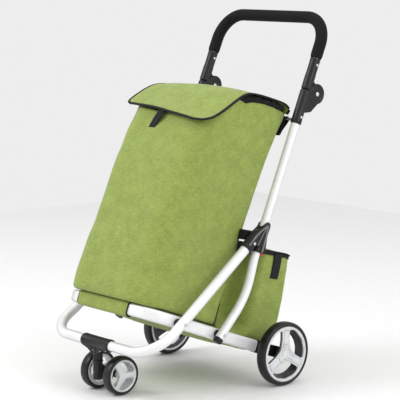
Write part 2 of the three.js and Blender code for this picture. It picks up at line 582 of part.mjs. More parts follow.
// Leaning prism of the bag's plan outline, set in by a distance, from below the floor to above the rim.
function bagPrism(inset) {
  const half = BAG.halfWidth - inset;
  const front = inset;
  const rear = BAG_DEPTH - inset;
  const frontR = BAG.frontRadius - inset;
  const rearR = BAG.rearRadius - inset;
  const shape = new THREE.Shape();
  shape.absarc(half - frontR, front + frontR, frontR, -Math.PI / 2, 0, false);
  shape.absarc(half - rearR, rear - rearR, rearR, 0, Math.PI / 2, false);
  shape.absarc(-half + rearR, rear - rearR, rearR, Math.PI / 2, Math.PI, false);
  shape.absarc(-half + frontR, front + frontR, frontR, Math.PI, Math.PI * 1.5, false);
  shape.closePath();
  const geometry = new THREE.ExtrudeGeometry(shape, { depth: 900, bevelEnabled: false, curveSegments: 6 });
  geometry.translate(0, 0, -200);
  geometry.rotateX(-bagLean);
  geometry.translate(0, BAG_FRONT_BOTTOM[0], BAG_FRONT_BOTTOM[1]);
  return solid(geometry);
}

// Everything on one side of a plane parallel to the platform: +1 keeps what is over it, -1 what is under.
const trimmedAt = (body, lift, keep = 1) => {
  const [y, z] = abovePlatform(PLATFORM_REAR[0], lift);
  const normal = [0, keep * platformNormal[0], keep * platformNormal[1]];
  return body.trimByPlane(normal, y * normal[1] + z * normal[2]);
};
// Underside of the closed flap in side view, from the front lip over the crown to the rear hinge.
const CROWN = [[-252, 760], [-214, 763], [-178, 777], [-141, 797], [-105, 811], [-75, 816], [-30, 810],
  [5, 800], [40, 786], [58, 773]];
// All that lies above the crown line lowered by a distance.
const aboveCrown = (drop) => plate([...CROWN.map(([y, z]) => [y, z - drop]), [400, CROWN.at(-1)[1] - drop],
  [400, 1200], [-500, 1200], [-500, CROWN[0][1] - drop]], -300, 300);
const bagOuter = trimmedAt(bagPrism(0), BAG_LIFT).subtract(aboveCrown(BAG.rimDrop));
const bagInner = trimmedAt(bagPrism(BAG.wall), BAG_LIFT + BAG.wall);
addPart('bag_shell', bagOuter.subtract(bagInner), fabric);

const boardLift = BAG_LIFT + BAG.wall + 0.6;
const boardPrism = trimmedAt(bagPrism(BAG.wall + 4), boardLift);
addPart('base_board', trimmedAt(boardPrism, boardLift + BOARD_THICK, -1), board);

// Gathered collar that closes the bag's mouth with a drawcord.
const COLLAR = { inset: 9, wall: 4, gap: 3 };
addPart('bag_collar', bagPrism(COLLAR.inset).subtract(bagPrism(COLLAR.inset + COLLAR.wall))
  .subtract(aboveCrown(COLLAR.gap)).intersect(aboveCrown(BAG.rimDrop - CLEARANCE)), trimFabric);

const strapOutline = (along, length, thick) => {
  // A strip that lies on the bag's front face, a distance down from the rim.
  const way = [Math.sin(bagLean), Math.cos(bagLean)];
  const out = [-Math.cos(bagLean), Math.sin(bagLean)];
  const at = (s, n) => BAG_FRONT_TOP.map((c, i) => c - s * way[i] + n * out[i]);
  return [at(along, 0.5), at(along + length, 0.5), at(along + length, 0.5 + thick), at(along, 0.5 + thick)];
};
addPart('front_tab', plate(strapOutline(24, 74, 2.2), -26, 0), trimFabric);

// ---- flap ---------------------------------------------------------------------------------
const FLAP = { halfWidth: 176, thick: 4 };
addPart('bag_flap', plate([...CROWN.map(([y, z]) => [y, z + FLAP.thick]), ...[...CROWN].reverse()],
  -FLAP.halfWidth, FLAP.halfWidth), fabric);

// ---- rear pocket --------------------------------------------------------------------------
const pocketOutline = (inset) => {
  const centre = POCKET_OUTLINE.reduce(([a, b], [y, z]) => [a + y / 4, b + z / 4], [0, 0]);
  return POCKET_OUTLINE.map(([y, z]) => {
    const reach = Math.hypot(y - centre[0], z - centre[1]);
    const share = 1 - (inset * 1.4) / reach;
    return [centre[0] + (y - centre[0]) * share, centre[1] + (z - centre[1]) * share];
  });
};
const lidPlane = [POCKET_OUTLINE[0], POCKET_OUTLINE[1]];
const lidWay = new THREE.Vector2(...lidPlane[1]).sub(new THREE.Vector2(...lidPlane[0])).normalize();
const lidUp = new THREE.Vector2(-lidWay.y, lidWay.x);
const aboveLid = lidUp.x * lidPlane[0][0] + lidUp.y * lidPlane[0][1];
const pocketOuter = plate(pocketOutline(0), -POCKET.halfWidth, POCKET.halfWidth);
const [frontTop, rearTop, rearBottom, frontBottom] = pocketOutline(POCKET.wall);
const mouth = (point, rise) => [point[0] + lidUp.x * rise, point[1] + lidUp.y * rise];
const pocketInner = plate(
  [mouth(frontTop, 12), mouth(rearTop, 12), rearTop, rearBottom, frontBottom, frontTop],
  -POCKET.halfWidth + POCKET.wall, POCKET.halfWidth - POCKET.wall);
addPart('rear_pocket', pocketOuter.subtract(pocketInner)
  .trimByPlane([0, -lidUp.x, -lidUp.y], -aboveLid), fabric);

const onLid = (forward, rise) => [
  lidPlane[0][0] + lidWay.x * forward + lidUp.x * rise,
  lidPlane[0][1] + lidWay.y * forward + lidUp.y * rise];
const lidLength = Math.hypot(lidPlane[1][0] - lidPlane[0][0], lidPlane[1][1] - lidPlane[0][1]);
const LID = { gap: 0.6, edge: 3.6, crown: 8, overhang: 2 };
addPart('pocket_lid', plate([
  onLid(LID.overhang, LID.gap), onLid(lidLength + LID.overhang, LID.gap),
  onLid(lidLength + LID.overhang, LID.edge), onLid(lidLength / 2, LID.crown), onLid(LID.overhang, LID.edge),
], -POCKET.halfWidth - LID.overhang, POCKET.halfWidth + LID.overhang), fabric);
const TAB = { forward: 158, halfWidth: 13, top: 3, drop: 76, thick: 2, gap: 2.4 };
const tabEdges = [TAB.forward - TAB.halfWidth, TAB.forward + TAB.halfWidth];
addPart('pocket_tab', plate([
  onLid(tabEdges[0], TAB.top), onLid(tabEdges[1], TAB.top),
  onLid(tabEdges[1], TAB.top - TAB.drop), onLid(tabEdges[0], TAB.top - TAB.drop),
], POCKET.halfWidth + TAB.gap, POCKET.halfWidth + TAB.gap + TAB.thick), trimFabric);

// Straps that hang the pocket on the main tubes.
addPair('pocket_strap', (side) => {
  const strap = plate([onLid(8, 20), onLid(36, 20), onLid(36, 48), onLid(8, 48)],
    POCKET.halfWidth + LID.overhang + 2 * CLEARANCE, MAIN_X - BRACKET_LEG_R - 2 * CLEARANCE);
  return mirrored(strap, side);
}, trimFabric);

// ---- place the whole trolley: origin under the middle of its box ---------------------------
trolley.updateMatrixWorld(true);
const box = new THREE.Box3().setFromObject(trolley);
trolley.position.set(0, -(box.min.y + box.max.y) / 2, -box.min.z);
export default trolley;
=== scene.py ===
import math

import bmesh
import bpy
from mathutils import Matrix, Vector, noise


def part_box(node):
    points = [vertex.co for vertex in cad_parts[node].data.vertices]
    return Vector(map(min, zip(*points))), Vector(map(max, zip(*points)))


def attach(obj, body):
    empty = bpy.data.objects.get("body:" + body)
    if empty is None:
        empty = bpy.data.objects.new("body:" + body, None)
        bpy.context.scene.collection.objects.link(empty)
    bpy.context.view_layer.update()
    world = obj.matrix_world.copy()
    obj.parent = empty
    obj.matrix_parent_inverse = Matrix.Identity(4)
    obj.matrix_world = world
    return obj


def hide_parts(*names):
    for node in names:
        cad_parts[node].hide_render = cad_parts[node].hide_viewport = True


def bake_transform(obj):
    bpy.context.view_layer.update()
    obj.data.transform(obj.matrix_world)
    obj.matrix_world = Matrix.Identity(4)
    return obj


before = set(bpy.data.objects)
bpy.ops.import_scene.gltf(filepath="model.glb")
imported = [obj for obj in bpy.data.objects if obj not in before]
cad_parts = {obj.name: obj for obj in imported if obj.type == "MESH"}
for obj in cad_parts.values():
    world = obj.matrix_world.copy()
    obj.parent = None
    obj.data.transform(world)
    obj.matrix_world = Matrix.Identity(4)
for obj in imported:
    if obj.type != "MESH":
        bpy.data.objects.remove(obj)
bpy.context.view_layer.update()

# ---- the design's driving dimensions ----
REAR_AXLE_Z = 90
axle_low, axle_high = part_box("rear_axle")
SHIFT = (axle_low + axle_high) / 2 - Vector((0, 0, REAR_AXLE_Z / 1000))
SIDES = (("right", 1), ("left", -1))
X_AXIS, Y_AXIS, Z_AXIS = Vector((1, 0, 0)), Vector((0, 1, 0)), Vector((0, 0, 1))

MAIN_X, MAIN_R = 213, 12.5
MAIN_LEAN = math.radians(22.2)
MAIN_UP = Vector((0, math.sin(MAIN_LEAN), math.cos(MAIN_LEAN)))
MAIN_BACK = Vector((0, math.cos(MAIN_LEAN), -math.sin(MAIN_LEAN)))
MAIN_FOOT = Vector((0, -52, 456))
MAIN_BENDS = ((Vector((0, -87.6, 369)), 260), (Vector((0, -117, 262)), 230))
MAIN_END = Vector((0, -219, 151))
MAIN_TOP_Z = 800

LEG_X, LEG_R = 215, 14
PIVOT_BRACKET = Vector((0, -106, 409))
LEG_KINK = Vector((0, -380, 190))
FRONT_CROSS = Vector((0, -464, 141))
LEG_BEND, CROSS_BEND = 120, 80

PLATFORM_X, PLATFORM_BEND = 185, 78
PLATFORM_WIDE, PLATFORM_TALL = 17, 34
PLATFORM_REAR = Vector((0, -53, 108))
PLATFORM_FRONT = Vector((0, -440, 247.5))
PLATFORM_ALONG = (PLATFORM_REAR - PLATFORM_FRONT).normalized()
PLATFORM_NORMAL = Vector((0, -PLATFORM_ALONG.z, PLATFORM_ALONG.y))

HINGE = Vector((0, 129, 810))
STEM_R = 14.5
HANDLE_TOP_Z, HANDLE_BEND = 1022, 80
GRIP_R = 17
FOAM_FROM_Z = 908.5

CASTER_SWIVEL_Y, CASTER_AXLE = -464, Vector((0, -424, 53.6))

BAG_HALF, BAG_DEPTH = 172, 278
BAG_FRONT_LOW, BAG_FRONT_TOP = Vector((0, -455, 270)), Vector((0, -242, 760))
BAG_UP = (BAG_FRONT_TOP - BAG_FRONT_LOW).normalized()
BAG_BACK = Vector((0, BAG_UP.z, -BAG_UP.y))
BAG_LIFT = 19.5
RIM_DROP = 24
HEM_TUCK, HEM_ROUND = 9, 11
CROWN = ((-252, 760), (-214, 763), (-178, 777), (-141, 797), (-105, 811), (-75, 816), (-30, 810),
         (5, 800), (40, 786), (58, 773))


def row(point):
    return point * 0.001 + SHIFT


def on_main(z, along=0, back=0):
    """A point by the main tubes' straight axis, from where the axis is at height z."""
    foot = MAIN_FOOT + MAIN_UP * ((z - MAIN_FOOT.z) / MAIN_UP.z)
    return foot + MAIN_UP * along + MAIN_BACK * back


def at_x(x, point):
    return Vector((x, point.y, point.z))


def mirrored(points):
    """A path's points on the right, then the same ones on the left, in reverse."""
    return points + [at_x(-p.x, p) for p in reversed(points)]


def ease(value, low, high):
    """0 below low, 1 above high, smooth between."""
    share = min(max((value - low) / (high - low), 0), 1)
    return share * share * (3 - 2 * share)


def round_in(distance, radius):
    """How far a rounded corner's edge is in from the side, at a distance from its end."""
    short = max(radius - distance, 0)
    return radius - math.sqrt(max(radius ** 2 - short ** 2, 0))


def wander(point, size, seed):
    """Smooth noise from -1 to 1, with lumps of about the given size."""
    return noise.noise(point / size + Vector((seed * 17.3, seed * 5.1, seed * 9.7)))


# ---- camera, light and floor ----
def add_camera():
    azimuth, drop, roll = math.radians(48.1), math.radians(7.7), math.radians(1.0)
    place = Vector((3320.3, -3080.7, 1106.6))
    level = Vector((-math.sin(azimuth), math.cos(azimuth), 0))
    ahead = level * math.cos(drop) - Z_AXIS * math.sin(drop)
    right = Vector((math.cos(azimuth), math.sin(azimuth), 0))
    up = right.cross(ahead)
    turned_right = right * math.cos(roll) + up * math.sin(roll)
    turned_up = up * math.cos(roll) - right * math.sin(roll)
    data = bpy.data.cameras.new("camera")
    data.sensor_width, data.lens = 36, 142.9
    camera = bpy.data.objects.new("camera", data)
    bpy.context.scene.collection.objects.link(camera)
    axes = Matrix((turned_right, turned_up, -ahead)).transposed()
    camera.matrix_world = Matrix.Translation(row(place)) @ axes.to_4x4()
    bpy.context.scene.camera = camera


def add_area(name, place, target, size, watts):
    data = bpy.data.lights.new(name, "AREA")
    data.shape, data.size, data.energy = "DISK", size, watts
    light = bpy.data.objects.new(name, data)
    bpy.context.scene.collection.objects.link(light)
    light.location = place
    light.rotation_euler = (Vector(target) - Vector(place)).to_track_quat("-Z", "Y").to_euler()


def add_studio():
    world = bpy.data.worlds.new("studio")
    world.use_nodes = True
    back = world.node_tree.nodes["Background"]
    back.inputs["Color"].default_value = (1, 1, 1, 1)
    back.inputs["Strength"].default_value = 0.85
    bpy.context.scene.world = world
    bpy.context.scene.view_settings.view_transform = "Standard"
    middle = (0, 0, 0.45)
    add_area("key_light", (-1.3, -2.6, 2.8), middle, 1.8, 66)
    add_area("side_light", (3.2, 0.6, 1.9), middle, 2.2, 42)
    add_area("top_light", (0.2, 0.3, 3.4), middle, 2.4, 17)


# ---- shapes ----
class Shape:
    """Collects faces, with a cloth UV in metres, and makes one mesh object of them."""

    def __init__(self):
        self.points, self.faces, self.slots, self.uvs = [], [], [], []

    def face(self, corners, slot, uvs):
        self.faces.append(corners)
        self.slots.append(slot)
        self.uvs.append(uvs)

    def grid(self, rows, wrap=False, caps=(False, False), slot=0):
        first = len(self.points)
        across = len(rows[0])
        for line in rows:
            self.points.extend(line)
        steps = across if wrap else across - 1
        reach = [run_lengths(line + [line[0]] if wrap else line) for line in rows]
        climb = [run_lengths([line[j] for line in rows]) for j in range(across)]
        for i in range(len(rows) - 1):
            for j in range(steps):
                k = (j + 1) % across
                corners = (first + i * across + j, first + i * across + k,
                           first + (i + 1) * across + k, first + (i + 1) * across + j)
                uvs = ((reach[i][j], climb[j][i]), (reach[i][j + 1], climb[k][i]),
                       (reach[i + 1][j + 1], climb[k][i + 1]), (reach[i + 1][j], climb[j][i + 1]))
                self.face(corners, slot, uvs)
        for wanted, line in zip(caps, (0, len(rows) - 1)):
            if wanted:
                self.cap(first + line * across, rows[line], slot)
        return self

    def cap(self, first, line, slot):
        """Closes a ring of points with triangles round its middle."""
        middle = sum(line, Vector()) / len(line)
        centre = len(self.points)
        self.points.append(middle)
        flat = [((p - middle).x * 0.001, (p - middle).yz.length * 0.001) for p in line]
        for j in range(len(line)):
            k = (j + 1) % len(line)
            self.face((first + j, first + k, centre), slot, (flat[j], flat[k], (0, 0)))

    def tube(self, rows):
        """Joins rings into a tube with both ends closed."""
        return self.grid(rows, wrap=True, caps=(True, True))

    def sweep(self, path, section, normals=None, across=None, sizes=None, wrap=False):
        """Carries a section of (across, out) points along a path.

        It faces along one normal, a list of them or an across direction, and sizes scale it."""
        rows = []
        normal = normals if isinstance(normals, Vector) else None
        for i, point in enumerate(path):
            ahead = path[(i + 1) % len(path)] if wrap or i + 1 < len(path) else point
            behind = path[i - 1] if wrap or i else point
            tangent = (ahead - behind).normalized()
            if across:
                normal = across.cross(tangent)
            elif isinstance(normals, list):
                normal = normals[i]
            elif normal is None:
                normal = tangent.orthogonal()
            out = (normal - tangent * normal.dot(tangent)).normalized()
            if normals is None:
                normal = out
            side = tangent.cross(out)
            size = sizes[i] if sizes else 1
            rows.append([point + (side * a + out * b) * size for a, b in section])
        if wrap:
            return self.grid(rows + [list(rows[0])], wrap=True)
        return self.tube(rows)

    def stack(self, steps, foot, way, out, parts=36):
        """Stacks rings on a straight axis; steps are (along, radius)."""
        across = out.cross(way).normalized()
        return self.tube([[foot + way * along + across * a + out * b for a, b in circle(radius, parts)]
                          for along, radius in steps])

    def lathe(self, profile, centre, axis="X", way=1, parts=48, slot=0):
        """Turns a closed profile of (radius, along) points round an axis, along it or against it."""
        rows = []
        for i in range(parts + 1):
            turn = math.tau * i / parts
            line = []
            for radius, along in profile:
                a, b, c = radius * math.cos(turn), radius * math.sin(turn), way * along
                line.append(centre + Vector((c, a, b) if axis == "X" else (a, b, c)))
            rows.append(line)
        return self.grid(rows, wrap=True, slot=slot)

    def prism(self, outline, low, high):
        """Extrudes a side-view outline of points from x = low to x = high."""
        return self.tube([[at_x(x, p) for p in outline] for x in (low, high)])

    def ball(self, centre, radius, flat, axis="X"):
        """A dome-ended round head, flattened along its axis."""
        profile = []
        for i in range(9):
            lift = math.pi * i / 8
            profile.append((max(radius * math.sin(lift), 0.02), -radius * flat * math.cos(lift)))
        return self.lathe(profile, centre, axis, parts=20)

    def build(self, name, body, materials, slot, replaces=(), bevel=0, sharp=38, thick=0):
        mesh = bpy.data.meshes.new(name)
        mesh.from_pydata([row(p) for p in self.points], [], self.faces)
        layer = mesh.uv_layers.new(name="cloth")
        corner = 0
        for polygon, uvs, material_index in zip(mesh.polygons, self.uvs, self.slots):
            polygon.material_index = material_index
            for uv in uvs:
                layer.data[corner].uv = uv
                corner += 1
        tool = bmesh.new()
        tool.from_mesh(mesh)
        bmesh.ops.remove_doubles(tool, verts=tool.verts, dist=1e-6)
        bmesh.ops.recalc_face_normals(tool, faces=tool.faces)
        tool.to_mesh(mesh)
        tool.free()
        mesh.shade_smooth()
        mesh.set_sharp_from_angle(angle=math.radians(sharp))
        for material in materials:
            mesh.materials.append(material)
        piece = bpy.data.objects.new(name, mesh)
        bpy.context.scene.collection.objects.link(piece)
        if thick:
            solid = piece.modifiers.new("cloth_thickness", "SOLIDIFY")
            solid.thickness, solid.offset = thick * 0.001, 0
        if bevel:
            edge = piece.modifiers.new("edge", "BEVEL")
            edge.width, edge.segments, edge.limit_method = bevel * 0.001, 3, "ANGLE"
            edge.angle_limit = math.radians(sharp)
        if body:
            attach(piece, body)
        if replaces:
            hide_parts(*replaces)
        return piece


def run_lengths(line):
    """Distance run at each point of a line, in metres."""
    out = [0.0]
    for a, b in zip(line, line[1:]):
        out.append(out[-1] + (b - a).length * 0.001)
    return out


def rounded_path(points, radii, step=7):
    """A path through straight runs joined by arcs; radii are for the inner points."""
    path = [points[0]]
    for before, corner, after, radius in zip(points, points[1:], points[2:], radii):
        come, go = (corner - before).normalized(), (after - corner).normalized()
        turn = come.angle(go)
        reach = radius * math.tan(turn / 2)
        inward = (go - come * go.dot(come)).normalized()
        start = corner - come * reach
        centre = start + inward * radius
        count = max(int(radius * turn / step), 6)
        for i in range(count + 1):
            swing = turn * i / count
            path.append(centre - inward * radius * math.cos(swing) + come * radius * math.sin(swing))
    path.append(points[-1])
    return path


def spread(path, count):
    """The same path with evenly spaced points."""
    run = run_lengths(path)
    out, k = [], 0
    for i in range(count):
        want = run[-1] * i / (count - 1)
        while k < len(run) - 2 and run[k + 1] < want:
            k += 1
        span = max(run[k + 1] - run[k], 1e-9)
        out.append(path[k].lerp(path[k + 1], min((want - run[k]) / span, 1)))
    return out


def plan_loop(first_depth, corners, swing, parts, count):
    """Evenly spaced (x, depth) points round a plan with rounded corners, from its middle.

    Each corner is its arc's (x, depth, radius, first angle), and every arc turns by swing."""
    points = [Vector((0, first_depth, 0))]
    for x, depth, radius, start in corners:
        for i in range(parts + 1):
            turn = math.radians(start + swing * i / parts)
            points.append(Vector((x + radius * math.cos(turn), depth + radius * math.sin(turn), 0)))
    points.append(points[0])
    return [(p.x, p.y) for p in spread(points, count + 1)[:-1]]


def smooth_through(points, steps=8):
    """A Catmull-Rom curve through the points."""
    ends = [points[0] * 2 - points[1]] + list(points) + [points[-1] * 2 - points[-2]]
    out = []
    for a, b, c, d in zip(ends, ends[1:], ends[2:], ends[3:]):
        for i in range(steps):
            t = i / steps
            out.append((b * 2 + (c - a) * t + (a * 2 - b * 5 + c * 4 - d) * t * t
                        + (b * 3 - a - c * 3 + d) * t * t * t) * 0.5)
    out.append(points[-1])
    return out


def circle(radius, parts=32):
    return [(radius * math.cos(math.tau * i / parts), radius * math.sin(math.tau * i / parts))
            for i in range(parts)]


def stadium(wide, tall, parts=12):
    """Section with half-round ends, tall along out."""
    lift, half = (tall - wide) / 2, circle(wide / 2, 2 * parts)[:parts + 1]
    return [(a, lift + b) for a, b in half] + [(-a, -lift - b) for a, b in half]


def squared(value, power):
    """A cosine or sine pushed outwards, which squares off the circle it comes from."""
    return math.copysign(abs(value) ** power, value)


def lens(wide, thick):
    """Flat strip with rounded edges, wide along across."""
    return [(squared(a, 0.6) * wide / 2, squared(b, 0.6) * thick / 2) for a, b in circle(1, 14)]


# ---- materials ----
class Finish:
    """Builds one procedural material."""

    def __init__(self, name):
        self.material = bpy.data.materials.new(name)
        self.material.use_nodes = True
        self.tree = self.material.node_tree
        self.shader = self.tree.nodes["Principled BSDF"]

    def set(self, **values):
        for name, value in values.items():
            socket = name.replace("_", " ").title().replace("Ior", "IOR")
            self.shader.inputs[socket].default_value = value
        return self

    def node(self, kind, inputs=None, **settings):
        made = self.tree.nodes.new(kind)
        for name, value in settings.items():
            setattr(made, name, value)
        for name, value in (inputs or {}).items():
            if isinstance(value, bpy.types.NodeSocket):
                self.tree.links.new(value, made.inputs[name])
            else:
                made.inputs[name].default_value = value
        return made

    def math(self, operation, a, b=0.0):
        return self.node("ShaderNodeMath", {0: a, 1: b}, operation=operation).outputs[0]

    def sum(self, *parts):
        """Adds up (value, weight) parts."""
        total = None
        for value, weight in parts:
            part = self.math("MULTIPLY", value, weight) if weight != 1 else value
            total = part if total is None else self.math("ADD", total, part)
        return total

    def stretch(self, vector, x, y):
        made = self.node("ShaderNodeVectorMath", {0: vector, 1: (x, y, 1)}, operation="MULTIPLY")
        return made.outputs[0]

    def noise(self, vector, scale, detail=3.0, roughness=0.55):
        inputs = {"Vector": vector, "Scale": scale, "Detail": detail, "Roughness": roughness}
        return self.node("ShaderNodeTexNoise", inputs).outputs["Fac"]

    def ramp(self, value, low, high, start=0.0, end=1.0):
        inputs = {"Value": value, "From Min": low, "From Max": high, "To Min": start, "To Max": end}
        return self.node("ShaderNodeMapRange", inputs).outputs["Result"]

    def mix(self, factor, a, b):
        made = self.node("ShaderNodeMix", data_type="RGBA")
        for index, value in ((0, factor), (6, a), (7, b)):
            if isinstance(value, bpy.types.NodeSocket):
                self.tree.links.new(value, made.inputs[index])
            elif index:
                made.inputs[index].default_value = (*value, 1)
            else:
                made.inputs[index].default_value = value
        return made.outputs[2]

    def colour(self, socket):
        self.tree.links.new(socket, self.shader.inputs["Base Color"])
        return self

    def rough(self, socket):
        self.tree.links.new(socket, self.shader.inputs["Roughness"])
        return self

    def bump(self, height, strength, distance):
        inputs = {"Height": height, "Strength": strength, "Distance": distance}
        made = self.node("ShaderNodeBump", inputs)
        self.tree.links.new(made.outputs["Normal"], self.shader.inputs["Normal"])
        return self

    @property
    def place(self):
        """Position on the object, in metres."""
        return self.node("ShaderNodeTexCoord").outputs["Object"]

    @property
    def cloth(self):
        """Position on the flat cloth, in metres."""
        return self.node("ShaderNodeUVMap", uv_map="cloth").outputs[0]


THREAD_PITCH, RIB_PITCH = 0.0011, 0.0017


def woven(name, dark, light, pale):
    """Plain weave of two slightly different yarns, with slubs along both thread directions."""
    finish = Finish(name)
    cloth = finish.cloth
    warp = finish.noise(finish.stretch(cloth, 520, 42), 1.0, 2.0)
    weft = finish.noise(finish.stretch(cloth, 46, 520), 1.0, 2.0)
    yarn = finish.noise(finish.stretch(cloth, 90, 1100), 1.0, 1.0)
    slub = finish.sum((warp, 0.42), (weft, 0.58))
    patch = finish.noise(cloth, 24.0, 5.0, 0.65)
    streaks = finish.ramp(slub, 0.37, 0.63)
    mottled = finish.ramp(patch, 0.34, 0.66)
    tone = finish.sum((streaks, 0.56), (mottled, 0.26), (finish.ramp(yarn, 0.3, 0.7), 0.18))
    fleck = finish.ramp(finish.noise(finish.stretch(cloth, 420, 1500), 1.0, 1.0), 0.60, 0.72)
    finish.colour(finish.mix(finish.math("MULTIPLY", fleck, 0.35), finish.mix(tone, dark, light), pale))
    turns = math.tau / THREAD_PITCH
    split = finish.node("ShaderNodeSeparateXYZ", {0: cloth})
    over = finish.math("SINE", finish.math("MULTIPLY", split.outputs["X"], turns))
    under = finish.math("SINE", finish.math("MULTIPLY", split.outputs["Y"], turns))
    weave = finish.math("MULTIPLY", over, under)
    finish.bump(finish.sum((weave, 0.25), (slub, 1.6)), 0.55, 0.00035)
    finish.rough(finish.ramp(slub, 0.3, 0.7, 0.78, 0.92))
    return finish.set(Sheen_weight=0.12, Sheen_roughness=0.5).material


def webbing(name, dark, light):
    """Black tape with fine ribs across and a soft grain."""
    finish = Finish(name)
    cloth = finish.cloth
    split = finish.node("ShaderNodeSeparateXYZ", {0: cloth})
    ribs = finish.math("SINE", finish.math("MULTIPLY", split.outputs["Y"], math.tau / RIB_PITCH))
    grain = finish.noise(finish.stretch(cloth, 300, 1200), 1.0, 3.0)
    tone = finish.sum((ribs, 0.2), (grain, 1))
    finish.colour(finish.mix(finish.ramp(tone, 0.2, 1.0), dark, light))
    finish.bump(finish.sum((ribs, 0.4), (grain, 1)), 0.5, 0.0004)
    finish.rough(finish.ramp(grain, 0.3, 0.7, 0.62, 0.82))
    return finish.set(Specular_IOR_level=0.25).material


def grained(name, dark, light, rough, grain=2600.0, depth=0.00012, **values):
    """Moulded surface: fine texture, slightly uneven colour and gloss."""
    finish = Finish(name)
    place = finish.place
    fine = finish.noise(place, grain, 2.0)
    broad = finish.noise(place, 38.0, 4.0)
    finish.colour(finish.mix(finish.ramp(broad, 0.3, 0.7), dark, light))
    finish.rough(finish.ramp(broad, 0.3, 0.7, rough - 0.06, rough + 0.07))
    finish.bump(finish.sum((fine, 1), (broad, 0.3)), 0.35, depth)
    return finish.set(**values).material


def anodised(name, dark, light):
    """Satin drawn tube: fine draw lines, faint handling marks, and painted shade darkening its edges."""
    finish = Finish(name)
    place = finish.place
    fine = finish.noise(place, 1800.0, 2.0)
    marks = finish.ramp(finish.noise(place, 22.0, 6.0, 0.65), 0.42, 0.72)
    # Painted shade: the colour goes towards dark grey where the tube's surface turns away from view,
    # standing in for darker reflections at its edges.
    turned = finish.node("ShaderNodeLayerWeight", {"Blend": 0.5}).outputs["Facing"]
    rim = finish.ramp(turned, 0.52, 1.0, 0.0, 0.85)
    finish.colour(finish.mix(rim, finish.mix(marks, light, dark), (0.30, 0.30, 0.31)))
    finish.rough(finish.ramp(marks, 0.0, 1.0, 0.42, 0.50))
    finish.bump(fine, 0.12, 0.00006)
    return finish.set(Metallic=0.3).material


bag_cloth = woven("heathered_green_weave", (0.135, 0.183, 0.025), (0.315, 0.400, 0.084), (0.47, 0.53, 0.20))
black_tape = webbing("black_tape", (0.004, 0.004, 0.005), (0.016, 0.016, 0.017))
collar_cloth = webbing("black_collar_cloth", (0.002, 0.002, 0.0025), (0.022, 0.022, 0.023))
tube_metal = anodised("satin_aluminium", (0.74, 0.74, 0.75), (0.79, 0.79, 0.80))
black_plastic = grained("black_nylon", (0.004, 0.004, 0.005), (0.009, 0.009, 0.010), 0.42,
                        Specular_IOR_level=0.34)
# Light grey for the bracket's raised ribs: a painted highlight along the ribs of the black nylon shell.
painted_highlight_plastic = grained("painted_highlight_nylon", (0.10, 0.10, 0.105), (0.20, 0.20, 0.205), 0.36)
foam = grained("grip_foam", (0.003, 0.003, 0.0035), (0.008, 0.008, 0.009), 0.78, 900.0, 0.0005,
               Specular_IOR_level=0.18)
rubber = grained("tyre_rubber", (0.003, 0.003, 0.0035), (0.010, 0.010, 0.011), 0.38, 1400.0, 0.0002,
                 Specular_IOR_level=0.36)
rim_silver = grained("silver_rim", (0.60, 0.61, 0.63), (0.72, 0.73, 0.75), 0.34, 1500.0, 0.00005,
                     Metallic=0.55)
# Dark grey for the inside of the rear wheels: painted shade on what is silver, in the ring's drum, behind
# the spokes and round the hub.
barrel_painted_shade = grained("shaded_barrel", (0.03, 0.03, 0.032), (0.065, 0.065, 0.068), 0.42, 1500.0, 0.00005)
zinc = grained("zinc_plate", (0.50, 0.51, 0.52), (0.66, 0.67, 0.68), 0.3, 1200.0, 0.00006, Metallic=0.9)
red_plastic = grained("red_button", (0.50, 0.012, 0.02), (0.62, 0.02, 0.03), 0.35)
board = grained("board_plastic", (0.03, 0.03, 0.033), (0.05, 0.05, 0.053), 0.6, 500.0, 0.0004)
floor_paint = grained("pale_floor", (0.80, 0.80, 0.80), (0.83, 0.83, 0.83), 0.6, 60.0, 0.0002)

# What a piece is made of: its materials and its slot.
CLOTH, TAPE = ([bag_cloth], "bag_fabric"), ([black_tape], "trim_fabric")
TUBE, ZINC = ([tube_metal], "tube_aluminium"), ([zinc], "zinc_steel")
BLACK, RUBBER = ([black_plastic], "black_plastic"), ([rubber], "tyre_rubber")


# ---- tubes ----
def add_main_tubes():
    bends, radii = zip(*MAIN_BENDS)
    flat_path = rounded_path([on_main(MAIN_TOP_Z), *bends, MAIN_END], radii)
    end_way = (MAIN_END - bends[-1]).normalized()
    plug = ((-7, 13.0), (-6.6, 13.3), (2.5, 13.3), (4.6, 12.4), (5.8, 9.5), (6.2, 3.0))
    for word, side in SIDES:
        path = [at_x(side * MAIN_X, p) for p in flat_path]
        Shape().sweep(path, circle(MAIN_R, 40)).build(
            f"main_tube_skin_{word}", "main_frame", *TUBE, [f"main_tube_{word}"])
        Shape().stack(plug, path[-1], end_way, end_way.cross(X_AXIS), 32).build(
            f"main_tube_plug_{word}", "main_frame", *BLACK, [f"main_tube_cap_{word}"], bevel=0.6)


def add_platform_tube():
    corners = mirrored([at_x(PLATFORM_X, PLATFORM_REAR), at_x(PLATFORM_X, PLATFORM_FRONT)])
    path = rounded_path(corners, [PLATFORM_BEND] * 2)
    Shape().sweep(path, stadium(PLATFORM_WIDE, PLATFORM_TALL), normals=PLATFORM_NORMAL).build(
        "platform_frame", "platform", *TUBE, ["platform_tube"])


def add_front_frame():
    top = PIVOT_BRACKET + (PIVOT_BRACKET - LEG_KINK).normalized() * 4
    corners = mirrored([at_x(LEG_X, p) for p in (top, LEG_KINK, FRONT_CROSS)])
    path = rounded_path(corners, [LEG_BEND, CROSS_BEND, CROSS_BEND, LEG_BEND], 5)
    Shape().sweep(path, circle(LEG_R, 40)).build("front_frame", "front_frame", *TUBE, ["front_frame_tube"])


